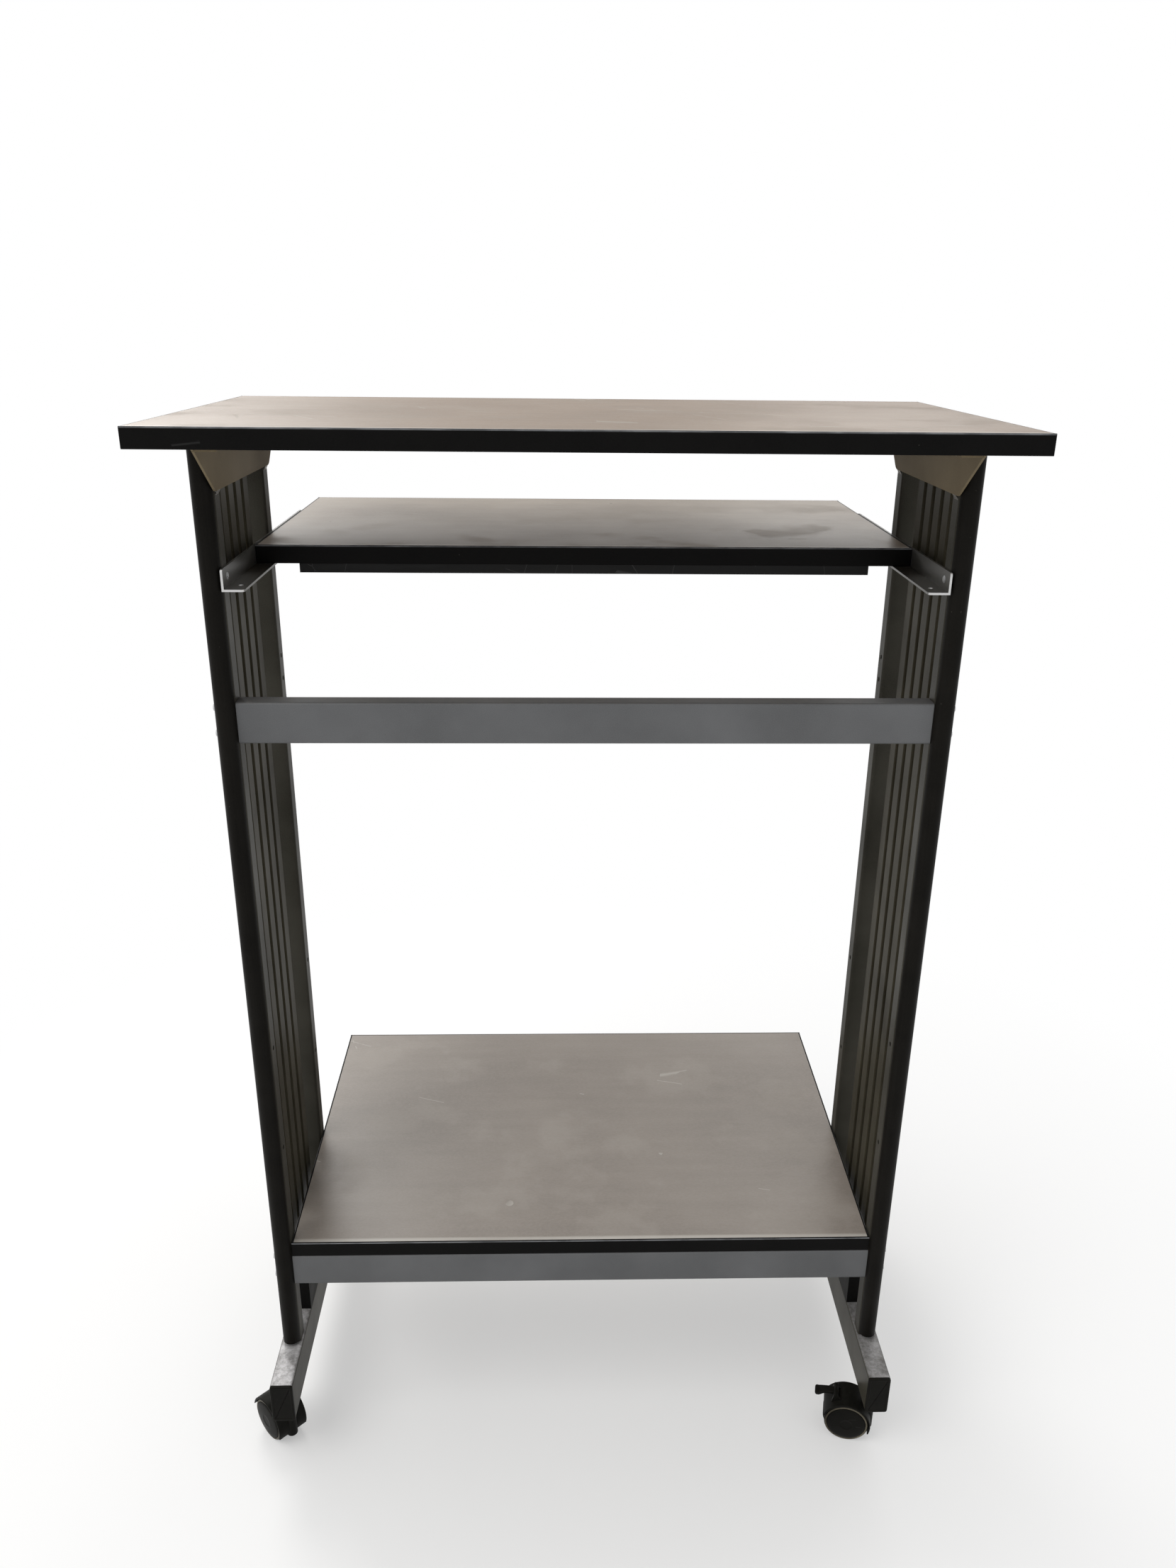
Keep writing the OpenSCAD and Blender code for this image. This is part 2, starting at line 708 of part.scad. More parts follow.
module axle(i) {
    l = 2 * (wheel_out - 3.2);
    color(steel) caster(i) translate([trail, l / 2, wheel_r]) rotate([90, 0, 0])
        cylinder(h = l, r = axle_r, $fn = 48);
}

// Half of a wheel's section as [radius, distance from the inner side], with a dished inner face
function wheel_section() = concat(
    [[axle_r + run_gap, 0], [8, 0], [9, 4], [wheel_r - 5, 4.5], [wheel_r - 3.6, 0.6], [wheel_r - 1.2, 0.6]],
    [for (a = [-75 : 25 : 0]) [wheel_r - 1.2 + 1.2 * cos(a), 1.8 + 1.2 * sin(a)]],
    [for (a = [0 : 22.5 : 67.5]) [wheel_r - 2 + 2 * cos(a), wheel_w - 4 + 2 * sin(a)]],
    [[wheel_r - 2.4, wheel_w - 1.9], [wheel_r - 2.9, wheel_w - 1.4], [14, wheel_w - 0.35], [7, wheel_w]],
    [[0, wheel_w], [0, wheel_w - 3], [axle_r + run_gap, wheel_w - 3]]
);

// Wheel on side t of caster i
module wheel(i, t) {
    color(plastic_black) caster(i)
        translate([trail, t * (wheel_out - wheel_w), wheel_r]) rotate([-t * 90, 0, 0])
            rotate_extrude($fn = 96) polygon(wheel_section());
}

// Foot-operated lever with its two trunnions
module brake_lever(i) {
    l = lever_tip - lever_at;
    rise = atan2(lever_rise, l);
    trunnion_l = lever_w + 2 * (lug_gap + lug_t);
    plate_w = lever_w - 0.6;
    color(plastic_black) caster(i) translate([lever_at, 0, lever_z]) {
        rotate([90, 0, 0]) translate([0, 0, -lever_w / 2]) cylinder(h = lever_w, r = lever_hub_r, $fn = 48);
        rotate([90, 0, 0]) translate([0, 0, -trunnion_l / 2]) cylinder(h = trunnion_l, r = trunnion_r, $fn = 32);
        rotate([0, -rise, 0]) translate([0, plate_w / 2, 0]) rotate([90, 0, 0]) linear_extrude(plate_w)
            polygon(rounded([
                [0, -lever_t / 2], [l, -lever_t / 2], [l, lever_t / 2], [0, lever_t / 2]
            ], [0, 1.4, 1.4, 0], 4));
    }
}

desktop();
desktop_edging();
gusset(-1);  // gusset_left
gusset(1);  // gusset_right
wood_screws();
post(-1, -1);  // post_front_left
post(1, -1);  // post_front_right
post(-1, 1);  // post_rear_left
post(1, 1);  // post_rear_right
nose(-1, -1);  // nose_front_left
nose(1, -1);  // nose_front_right
nose(-1, 1);  // nose_rear_left
nose(1, 1);  // nose_rear_right
slats(-1);  // slats_left
slats(1);  // slats_right
slat_shoe(-1);  // slat_shoe_left
slat_shoe(1);  // slat_shoe_right
slat_heads();
mid_rail();
lower_rail();
rail_end_plates();
frame_bolts();
bearer_nuts();
shelf();
shelf_edging();
bearer(-1);  // bearer_left
bearer(1);  // bearer_right
runner(-1);  // runner_left
runner(1);  // runner_right
runner_screws();
foot(-1);  // foot_left
foot(1);  // foot_right
foot_caps();
post_welds();
caster_stems();
stem_nuts();
tray();
tray_edging();
tray_stiffener();
stiffener_screws();
hood(0);  // hood_fl
hood(1, true);  // hood_fr
hood(2, true);  // hood_rl
hood(3);  // hood_rr
axle(0);  // axle_fl
axle(1);  // axle_fr
axle(2);  // axle_rl
axle(3);  // axle_rr
wheel(0, -1);  // wheel_fl_a
wheel(0, 1);  // wheel_fl_b
wheel(1, -1);  // wheel_fr_a
wheel(1, 1);  // wheel_fr_b
wheel(2, -1);  // wheel_rl_a
wheel(2, 1);  // wheel_rl_b
wheel(3, -1);  // wheel_rr_a
wheel(3, 1);  // wheel_rr_b
brake_lever(1);  // brake_lever_fr
brake_lever(2);  // brake_lever_rl
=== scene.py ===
import json
import math
import bpy
from mathutils import Matrix, Vector

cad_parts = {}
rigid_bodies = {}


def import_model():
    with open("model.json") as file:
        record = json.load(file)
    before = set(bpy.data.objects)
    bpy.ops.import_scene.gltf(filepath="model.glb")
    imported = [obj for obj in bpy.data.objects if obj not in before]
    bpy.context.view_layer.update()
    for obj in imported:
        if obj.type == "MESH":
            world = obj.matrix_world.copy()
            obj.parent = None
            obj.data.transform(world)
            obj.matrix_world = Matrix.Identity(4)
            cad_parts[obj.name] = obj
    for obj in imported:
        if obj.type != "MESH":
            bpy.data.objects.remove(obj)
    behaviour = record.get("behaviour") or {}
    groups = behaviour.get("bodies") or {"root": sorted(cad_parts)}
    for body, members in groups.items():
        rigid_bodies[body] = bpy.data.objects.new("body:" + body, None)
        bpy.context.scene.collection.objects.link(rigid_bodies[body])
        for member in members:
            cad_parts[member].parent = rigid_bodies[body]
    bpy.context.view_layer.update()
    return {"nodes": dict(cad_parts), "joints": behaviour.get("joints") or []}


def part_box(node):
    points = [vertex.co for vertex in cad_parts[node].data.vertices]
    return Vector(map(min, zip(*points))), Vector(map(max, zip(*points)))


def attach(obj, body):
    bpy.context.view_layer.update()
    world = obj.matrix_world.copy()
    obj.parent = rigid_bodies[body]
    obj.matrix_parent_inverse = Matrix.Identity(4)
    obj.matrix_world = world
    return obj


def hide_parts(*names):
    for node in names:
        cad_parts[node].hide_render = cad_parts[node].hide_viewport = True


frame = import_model()
nodes = frame["nodes"]
print("frame loaded with", len(nodes), "nodes")

# two places nearer than this count as one when edges and faces are picked, in metres
hair = 0.0001
upward = Vector((0, 0, 1))


def deselectAll():
    for thing in bpy.context.view_layer.objects:
        thing.select_set(False)


def makeActive(piece):
    deselectAll()
    piece.select_set(True)
    bpy.context.view_layer.objects.active = piece


def settle():
    # puts the active piece's place, turn and size into its mesh
    bpy.ops.object.transform_apply(location=True, rotation=True, scale=True)


def addBlock(size, at, turn=0.0):
    deselectAll()
    bpy.ops.mesh.primitive_cube_add(size=1, location=at, rotation=(0, 0, turn))
    block = bpy.context.object
    block.scale = size
    settle()
    return block


def addRod(sides, radius, length, at=(0, 0, 0), turn=(0, 0, 0)):
    deselectAll()
    bpy.ops.mesh.primitive_cylinder_add(
        vertices=sides, radius=radius, depth=length, location=at, rotation=turn)
    rod = bpy.context.object
    settle()
    return rod


def pick(piece, kind, test):
    # selects the vertices, edges or faces of a piece that pass the test, and stays in edit mode
    bpy.ops.object.mode_set(mode="EDIT")
    bpy.ops.mesh.select_mode(type=kind)
    bpy.ops.mesh.select_all(action="DESELECT")
    bpy.ops.object.mode_set(mode="OBJECT")
    mesh = piece.data
    if kind == "VERT":
        for vertex in mesh.vertices:
            vertex.select = test(vertex.co)
    elif kind == "EDGE":
        for edge in mesh.edges:
            first, second = edge.vertices
            edge.select = test(mesh.vertices[first].co, mesh.vertices[second].co)
    else:
        for face in mesh.polygons:
            face.select = test(face.center, face.normal)
    bpy.ops.object.mode_set(mode="EDIT")


def insetSteps(*steps):
    # each step narrows the picked face and moves it along its normal
    for inward, out in steps:
        bpy.ops.mesh.inset(thickness=inward, depth=out)


def pushOut(*by):
    bpy.ops.mesh.extrude_region_move(TRANSFORM_OT_translate={"value": by})


def closeUp(piece, angle):
    bpy.ops.object.mode_set(mode="EDIT")
    bpy.ops.mesh.select_all(action="SELECT")
    bpy.ops.mesh.normals_make_consistent(inside=False)
    bpy.ops.object.mode_set(mode="OBJECT")
    makeActive(piece)
    bpy.ops.object.shade_smooth_by_angle(angle=math.radians(angle))


def placeCopy(pattern, name, x, y, z, at):
    # a copy with its own mesh, its axes turned to x, y and z and its origin put at a place
    makeActive(pattern)
    bpy.ops.object.duplicate()
    piece = bpy.context.object
    piece.name = name
    piece.data.name = name
    turn = Matrix((x, y, z)).transposed().to_4x4()
    piece.matrix_world = Matrix.Translation(at) @ turn
    settle()
    return piece


def joinPieces(pieces):
    makeActive(pieces[0])
    for piece in pieces[1:]:
        piece.select_set(True)
    bpy.ops.object.join()
    return bpy.context.object


def cutWith(piece, cutter):
    makeActive(piece)
    bpy.ops.object.modifier_add(type="BOOLEAN")
    cut = piece.modifiers[-1]
    cut.operation = "DIFFERENCE"
    cut.object = cutter
    bpy.ops.object.modifier_apply(modifier=cut.name)
    bpy.data.objects.remove(cutter)


def solidsOf(name):
    # lowest and highest corner of each separate solid in a node
    makeActive(nodes[name])
    bpy.ops.object.duplicate()
    bpy.ops.object.mode_set(mode="EDIT")
    bpy.ops.mesh.select_all(action="SELECT")
    bpy.ops.mesh.remove_doubles(threshold=0.000001)
    bpy.ops.mesh.separate(type="LOOSE")
    bpy.ops.object.mode_set(mode="OBJECT")
    ends = []
    for part in list(bpy.context.selected_objects):
        spots = [vertex.co for vertex in part.data.vertices]
        ends.append(tuple(Vector([end(spot[i] for spot in spots) for i in range(3)])
                          for end in (min, max)))
        bpy.data.objects.remove(part)
    return sorted(ends, key=lambda pair: tuple(pair[0]))


# short forms for shader nodes
def addNode(tree, kind, inputs=None, **settings):
    node = tree.nodes.new(kind)
    for key, value in settings.items():
        setattr(node, key, value)
    for key, value in (inputs or {}).items():
        if hasattr(value, "is_output"):
            tree.links.new(value, node.inputs[key])
        else:
            node.inputs[key].default_value = value
    return node


def newGroup(name, inputs, *outputs):
    # every effect takes a place as Vector, and its other inputs with the values given here
    tree = bpy.data.node_groups.new(name, "ShaderNodeTree")
    tree.interface.new_socket("Vector", in_out="INPUT", socket_type="NodeSocketVector")
    for title, value in inputs.items():
        kind = "NodeSocketFloat" if isinstance(value, float) else "NodeSocketVector"
        tree.interface.new_socket(title, in_out="INPUT", socket_type=kind).default_value = value
    for title in outputs:
        tree.interface.new_socket(title, in_out="OUTPUT", socket_type="NodeSocketFloat")
    given = tree.nodes.new("NodeGroupInput").outputs
    return tree, given, tree.nodes.new("NodeGroupOutput").inputs


def useGroup(tree, group, where, **inputs):
    inputs = {"Vector": where, **inputs}
    return addNode(tree, "ShaderNodeGroup", inputs, node_tree=group).outputs


def mathNode(tree, operation, first, second, clamp=False):
    inputs = {0: first, 1: second}
    return addNode(tree, "ShaderNodeMath", inputs, operation=operation, use_clamp=clamp).outputs[0]


def plus(tree, first, second, clamp=False):
    return mathNode(tree, "ADD", first, second, clamp)


def minus(tree, first, second, clamp=False):
    return mathNode(tree, "SUBTRACT", first, second, clamp)


def times(tree, first, second, clamp=False):
    return mathNode(tree, "MULTIPLY", first, second, clamp)


def larger(tree, first, second):
    return mathNode(tree, "MAXIMUM", first, second)


def vectorNode(tree, operation, first, second=(0, 0, 0)):
    return addNode(tree, "ShaderNodeVectorMath", {0: first, 1: second}, operation=operation)


def stretched(tree, where, by):
    return vectorNode(tree, "MULTIPLY", where, by).outputs[0]


def noise(tree, where, scale, detail, roughness=0.5):
    return addNode(tree, "ShaderNodeTexNoise", {
        "Vector": where, "Scale": scale, "Detail": detail, "Roughness": roughness}).outputs


def nudged(tree, where, cloud, by):
    # a place moved about by a noise colour
    shift = stretched(tree, cloud["Color"], (by, by, by))
    return vectorNode(tree, "ADD", where, shift).outputs[0]


def cells(tree, where, scale, feature="F1"):
    inputs = {"Vector": where, "Scale": scale}
    return addNode(tree, "ShaderNodeTexVoronoi", inputs, feature=feature).outputs


def splitVector(tree, value):
    return addNode(tree, "ShaderNodeSeparateXYZ", {0: value}).outputs


def surfaceNormal(tree):
    return splitVector(tree, addNode(tree, "ShaderNodeNewGeometry").outputs["Normal"])


def firstChannel(tree, color):
    return addNode(tree, "ShaderNodeSeparateColor", {0: color}).outputs[0]


def mixColors(tree, share, first, second):
    inputs = {0: share, 6: first, 7: second}
    return addNode(tree, "ShaderNodeMix", inputs, data_type="RGBA").outputs[2]


def ramp(tree, value, low, high, fromLow=0.0, fromHigh=1.0):
    return addNode(tree, "ShaderNodeMapRange", {
        "Value": value, "From Min": fromLow, "From Max": fromHigh,
        "To Min": low, "To Max": high}).outputs[0]


# camera and stage
cameraView = {"place": (-0.02928, -1.15058, 1.21271), "turn": -1.656, "tilt": 68.626,
              "roll": 0.604, "lens": 36.344, "sensor": 36, "nearest": 0.01}


def addCamera():
    data = bpy.data.cameras.new("deskCamera")
    data.sensor_fit = "HORIZONTAL"
    data.sensor_width = cameraView["sensor"]
    data.lens = cameraView["lens"]
    data.clip_start = cameraView["nearest"]
    camera = bpy.data.objects.new("deskCamera", data)
    bpy.context.scene.collection.objects.link(camera)
    turn = Matrix.Rotation(math.radians(cameraView["turn"]), 4, "Z")
    tilt = Matrix.Rotation(math.radians(cameraView["tilt"]), 4, "X")
    roll = Matrix.Rotation(math.radians(cameraView["roll"]), 4, "Z")
    camera.matrix_world = Matrix.Translation(cameraView["place"]) @ turn @ tilt @ roll
    bpy.context.scene.camera = camera


addCamera()

lamps = {
    "key": {"place": (-1.9, -1.3, 2.9), "aim": (0, 0, 0.7), "size": 2.2, "power": 26,
            "color": (1, 0.98, 0.95)},
    "fill": {"place": (2.2, -2.4, 0.9), "aim": (0, 0, 0.5), "size": 2.6, "power": 4,
             "color": (0.95, 0.97, 1)},
    "backLeft": {"place": (-1.35, 2.4, 2.5), "aim": (0, 0, 0.5), "size": 1.5, "power": 40,
                 "color": (1, 0.99, 0.97)},
    "backRight": {"place": (1.0, 2.4, 2.1), "aim": (0, 0, 0.6), "size": 1.1, "power": 6,
                  "color": (1, 0.99, 0.97)},
}


def addLamps():
    for name, lamp in lamps.items():
        data = bpy.data.lights.new(name + "Lamp", "AREA")
        data.shape = "DISK"
        data.size = lamp["size"]
        data.energy = lamp["power"]
        data.color = lamp["color"]
        light = bpy.data.objects.new(name + "Lamp", data)
        bpy.context.scene.collection.objects.link(light)
        light.location = lamp["place"]
        toward = Vector(lamp["aim"]) - Vector(lamp["place"])
        light.rotation_euler = toward.to_track_quat("-Z", "Y").to_euler()


addLamps()

# front, back, top and left are the light from those sides of the room
stage = {
    "white": (1, 1, 1, 1), "floorColor": (0.9, 0.9, 0.895, 1), "floorSize": 30,
    "nearFade": 0.35, "farFade": 1.25, "nearWhite": 0.35,
    "front": 0.12, "back": 0.42, "top": 0.48, "left": 0.60,
}


def seenAsWhite(tree):
    # 1 for rays that see the stage straight, in a mirror or through glass
    path = addNode(tree, "ShaderNodeLightPath").outputs
    direct = larger(tree, path["Is Camera Ray"], path["Is Transmission Ray"])
    return larger(tree, direct, path["Is Glossy Ray"])


def mixShaders(tree, share, first, second, out):
    mix = addNode(tree, "ShaderNodeMixShader", {0: share, 1: first, 2: second})
    tree.links.new(mix.outputs[0], out.inputs["Surface"])


def addWorld():
    # light comes mostly from above, behind and the left
    # seen straight, in a mirror or through glass, the room is plain white
    world = bpy.data.worlds.new("softStudio")
    bpy.context.scene.world = world
    world.use_nodes = True
    tree = world.node_tree
    tree.nodes.clear()
    out = addNode(tree, "ShaderNodeOutputWorld")
    toward = splitVector(tree, addNode(tree, "ShaderNodeTexCoord").outputs["Generated"])
    room = ramp(tree, toward["Y"], stage["front"], stage["back"], -0.6, 0.8)
    room = plus(tree, room, ramp(tree, toward["Z"], 0.0, stage["top"], 0.1, 0.9))
    room = plus(tree, room, ramp(tree, toward["X"], stage["left"], 0.0, -0.9, 0.2))
    soft, white = (addNode(tree, "ShaderNodeBackground", {
        "Color": stage["white"], "Strength": strength}).outputs[0] for strength in (room, 1.0))
    mixShaders(tree, seenAsWhite(tree), soft, white, out)


addWorld()


def addFloor():
    # pale floor that keeps the shadow and goes over to white away from the desk
    deselectAll()
    bpy.ops.mesh.primitive_plane_add(size=stage["floorSize"], location=(0, 0, 0))
    floor = bpy.context.object
    floor.name = "studioFloor"
    material = bpy.data.materials.new("paleFloor")
    material.use_nodes = True
    tree = material.node_tree
    tree.nodes.clear()
    out = addNode(tree, "ShaderNodeOutputMaterial")
    pale = addNode(tree, "ShaderNodeBsdfDiffuse", {"Color": stage["floorColor"]}).outputs[0]
    white = addNode(tree, "ShaderNodeEmission", {
        "Color": stage["white"], "Strength": 1.0}).outputs[0]
    where = addNode(tree, "ShaderNodeTexCoord").outputs["Object"]
    reach = vectorNode(tree, "LENGTH", where).outputs["Value"]
    fade = ramp(tree, reach, stage["nearWhite"], 1.0, stage["nearFade"], stage["farFade"])
    mixShaders(tree, times(tree, fade, seenAsWhite(tree)), pale, white, out)
    floor.data.materials.append(material)


addFloor()
print("camera, lamps and floor placed")

# effects that several finishes share
def makePatches():
    # soft cloudy areas, 0 to 1
    tree, given, result = newGroup("softPatches", {"Scale": 6.0, "Contrast": 1.0}, "Mask")
    cloud = noise(tree, given["Vector"], given["Scale"], 4.0, 0.55)
    wide = times(tree, minus(tree, cloud["Fac"], 0.5), given["Contrast"])
    tree.links.new(plus(tree, wide, 0.5, True), result["Mask"])
    return tree


def makeSpeckle():
    # fine grain for colour and height, drawn out by Stretch
    tree, given, result = newGroup(
        "fineSpeckle", {"Scale": 900.0, "Stretch": (1, 1, 1)}, "Mask", "Height")
    long = stretched(tree, given["Vector"], given["Stretch"])
    grain = noise(tree, long, given["Scale"], 3.0, 0.6)["Fac"]
    dots = cells(tree, long, given["Scale"])["Distance"]
    tree.links.new(ramp(tree, grain, 0.0, 1.0, 0.3, 0.7), result["Mask"])
    tree.links.new(times(tree, dots, grain), result["Height"])
    return tree


def makeScratches():
    # thin broken lines that wander, along X before Turn
    tree, given, result = newGroup(
        "thinScratches", {"Scale": 14.0, "Turn": 0.0, "Amount": 0.5}, "Mask")
    moved = nudged(tree, given["Vector"], noise(tree, given["Vector"], 5.0, 2.0), 0.06)
    turned = addNode(tree, "ShaderNodeVectorRotate", {
        "Vector": moved, "Angle": given["Turn"]}, rotation_type="Z_AXIS").outputs[0]
    thin = stretched(tree, turned, (0.09, 1, 1))
    border = cells(tree, thin, given["Scale"], "DISTANCE_TO_EDGE")["Distance"]
    line = ramp(tree, border, 1.0, 0.0, 0.0, 0.012)
    gaps = noise(tree, given["Vector"], 11.0, 3.0)["Fac"]
    limit = minus(tree, 0.78, times(tree, given["Amount"], 0.4))
    kept = mathNode(tree, "GREATER_THAN", gaps, limit)
    tree.links.new(times(tree, line, kept, True), result["Mask"])
    return tree


def makeDust():
    # dust that lies on faces that point up
    tree, given, result = newGroup("settledDust", {"Scale": 40.0, "Amount": 0.3}, "Mask")
    flat = ramp(tree, surfaceNormal(tree)["Z"], 0.0, 1.0, 0.35, 0.95)
    cloud = noise(tree, given["Vector"], given["Scale"], 6.0, 0.65)["Fac"]
    lying = times(tree, flat, ramp(tree, cloud, 0.15, 1.0, 0.35, 0.7))
    tree.links.new(times(tree, lying, given["Amount"], True), result["Mask"])
    return tree


def makeSpecks():
    # separate small dots and chips, Size is a share of the cell
    tree, given, result = newGroup("loneSpecks", {"Scale": 60.0, "Size": 0.12}, "Mask")
    moved = nudged(tree, given["Vector"], noise(tree, given["Vector"], 300.0, 2.0), 0.002)
    spots = cells(tree, moved, given["Scale"])
    few = ramp(tree, firstChannel(tree, spots["Color"]), 0.0, 1.0, 0.72, 1.0)
    width = times(tree, few, given["Size"])
    tree.links.new(mathNode(tree, "LESS_THAN", spots["Distance"], width), result["Mask"])
    return tree


def makeEdgeHighlight():
    # painted highlight line on upright faces just below a height, uneven along its length
    tree, given, result = newGroup(
        "paintedEdgeHighlight", {"Top": 1.0, "Width": 0.001, "Amount": 0.6}, "Mask")
    below = minus(tree, given["Top"], splitVector(tree, given["Vector"])["Z"])
    near = minus(tree, 1.0, mathNode(tree, "DIVIDE", below, given["Width"]), True)
    broken = noise(tree, given["Vector"], 34.0, 7.0)["Fac"]
    some = ramp(tree, broken, 0.5, 1.0, 0.4, 0.6)
    upright = ramp(tree, surfaceNormal(tree)["Z"], 1.0, 0.0, 0.5, 0.95)
    line = times(tree, times(tree, near, some), upright)
    tree.links.new(times(tree, line, given["Amount"], True), result["Mask"])
    return tree


def makePaintedTopHighlight():
    # painted highlight on faces that point up, broken into mottled patches
    tree, given, result = newGroup("paintedTopHighlight", {"Amount": 0.5}, "Mask")
    flat = ramp(tree, surfaceNormal(tree)["Z"], 0.0, 1.0, 0.5, 0.95)
    broad = noise(tree, given["Vector"], 42.0, 6.0, 0.7)["Fac"]
    small = noise(tree, given["Vector"], 230.0, 4.0, 0.7)["Fac"]
    mottle = times(tree, ramp(tree, broad, 0.45, 1.0, 0.35, 0.62),
                   ramp(tree, small, 0.55, 1.0, 0.35, 0.6))
    lying = times(tree, flat, mottle)
    tree.links.new(times(tree, lying, given["Amount"], True), result["Mask"])
    return tree


softPatches = makePatches()
paintedTopHighlight = makePaintedTopHighlight()
fineSpeckle = makeSpeckle()
thinScratches = makeScratches()
settledDust = makeDust()
loneSpecks = makeSpecks()
paintedEdgeHighlight = makeEdgeHighlight()
print("shared effects made")

evenly = (1.0, 1.0, 1.0)


def newFinish(name, **sockets):
    material = bpy.data.materials.new(name)
    material.use_nodes = True
    tree = material.node_tree
    tree.nodes.clear()
    out = tree.nodes.new("ShaderNodeOutputMaterial")
    shader = tree.nodes.new("ShaderNodeBsdfPrincipled")
    tree.links.new(shader.outputs[0], out.inputs["Surface"])
    for key, value in sockets.items():
        shader.inputs[key.replace("_", " ")].default_value = value
    where = tree.nodes.new("ShaderNodeTexCoord").outputs["Object"]
    return material, tree, shader, where


def setBump(tree, shader, height, strength, distance):
    bump = addNode(tree, "ShaderNodeBump", {
        "Height": height, "Strength": strength, "Distance": distance})
    tree.links.new(bump.outputs[0], shader.inputs["Normal"])


def setColor(tree, shader, color):
    tree.links.new(color, shader.inputs["Base Color"])


def setRoughness(tree, shader, value):
    tree.links.new(value, shader.inputs["Roughness"])


def layOver(tree, tone, mask, layer):
    # a layer is a colour and how much of it shows where its mask is full
    color, share = layer
    return mixColors(tree, times(tree, mask, share), tone, color)


def blendIn(tree, tone, mask, layer):
    # the same, with the mask held between 0 and 1
    color, share = layer
    return mixColors(tree, ramp(tree, mask, 0.0, share), tone, color)


def dress(material, *names):
    for name in names:
        mesh = nodes[name].data
        mesh.materials.clear()
        mesh.materials.append(material)


# laminate of the three boards
boardFinishes = {
    "desktop": {"light": (0.270, 0.190, 0.128, 1), "dark": (0.195, 0.136, 0.092, 1), "patch": 5.0,
                "stain": 0.7, "scratch": 0.6, "rough": 0.46, "specular": 0.12, "rim": 0.55},
    "tray": {"light": (0.310, 0.250, 0.188, 1), "dark": (0.200, 0.158, 0.118, 1), "patch": 7.0,
             "stain": 0.7, "scratch": 0.4, "rough": 0.42, "specular": 0.25, "rim": 0.8},
    "shelf": {"light": (0.270, 0.236, 0.205, 1), "dark": (0.180, 0.154, 0.132, 1), "patch": 4.0,
              "stain": 0.45, "scratch": 0.3, "rough": 0.36, "specular": 0.4, "rim": 0.5},
}
laminateLayers = {
    "speckle": ((0.30, 0.275, 0.245, 1), 0.35), "streak": ((0.10, 0.085, 0.075, 1), 0.14),
    "stain": ((0.36, 0.33, 0.295, 1), 0.45), "scratch": ((0.50, 0.48, 0.44, 1), 0.5),
    "speck": ((0.06, 0.05, 0.045, 1), 0.75),
    # the rim colour is a painted highlight along the near edge of the top
    "rimColor": (0.66, 0.64, 0.59, 1), "rimFull": 0.003, "rimGone": 0.006,
}


def laminateFinish(name, board):
    material, tree, shader, where = newFinish(
        name + "Laminate", Specular_IOR_Level=board["specular"])
    amount = board["scratch"]
    patches = useGroup(tree, softPatches, where, Scale=board["patch"], Contrast=1.8)["Mask"]
    speckle = useGroup(tree, fineSpeckle, where, Scale=620.0, Stretch=(0.55, 1.0, 1.0))
    streaks = useGroup(tree, fineSpeckle, where, Scale=60.0, Stretch=(0.12, 1.0, 1.0))["Mask"]
    stains = useGroup(tree, softPatches, where, Scale=13.0, Contrast=3.6)["Mask"]
    scratches = useGroup(tree, thinScratches, where, Scale=13.0, Turn=0.22, Amount=amount)
    crossed = useGroup(tree, thinScratches, where, Scale=9.0, Turn=1.1, Amount=amount * 0.7)
    specks = useGroup(tree, loneSpecks, where, Scale=26.0, Size=0.05)["Mask"]
    tone = mixColors(tree, patches, board["dark"], board["light"])
    tone = blendIn(tree, tone, speckle["Mask"], laminateLayers["speckle"])
    tone = blendIn(tree, tone, streaks, laminateLayers["streak"])
    blotches = ramp(tree, stains, 0.0, board["stain"], 0.62, 1.0)
    tone = layOver(tree, tone, blotches, laminateLayers["stain"])
    # painted highlight along the near edge, broken up by the streaks
    depth = minus(tree, splitVector(tree, where)["Y"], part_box(name)[0].y)
    margin = ramp(tree, depth, board["rim"], 0.0,
                  laminateLayers["rimFull"], laminateLayers["rimGone"])
    edgeHighlight = times(tree, margin, ramp(tree, streaks, 0.55, 1.0))
    tone = mixColors(tree, edgeHighlight, tone, laminateLayers["rimColor"])
    lines = larger(tree, scratches["Mask"], crossed["Mask"])
    tone = layOver(tree, tone, lines, laminateLayers["scratch"])
    tone = layOver(tree, tone, specks, laminateLayers["speck"])
    setColor(tree, shader, tone)
    sheen = ramp(tree, patches, board["rough"] + 0.05, board["rough"] - 0.04)
    sheen = plus(tree, sheen, times(tree, blotches, 0.16))
    setRoughness(tree, shader, plus(tree, sheen, times(tree, lines, 0.2)))
    setBump(tree, shader, minus(tree, speckle["Height"], lines), 0.10, 0.0006)
    return material


for name, board in boardFinishes.items():
    dress(laminateFinish(name, board), name)

# black edging band; its pale line along the top edge is a painted highlight
edgingLayers = {
    "black": (0.0035, 0.0033, 0.0032, 1), "soft": (0.0060, 0.0057, 0.0054, 1),
    "edgeHighlight": (0.42, 0.43, 0.45, 1), "speckle": ((0.010, 0.010, 0.010, 1), 0.3),
    "speck": ((0.07, 0.068, 0.062, 1), 0.4), "scratch": ((0.1, 0.1, 0.1, 1), 0.2),
    "highlightWidth": 0.0016,
}


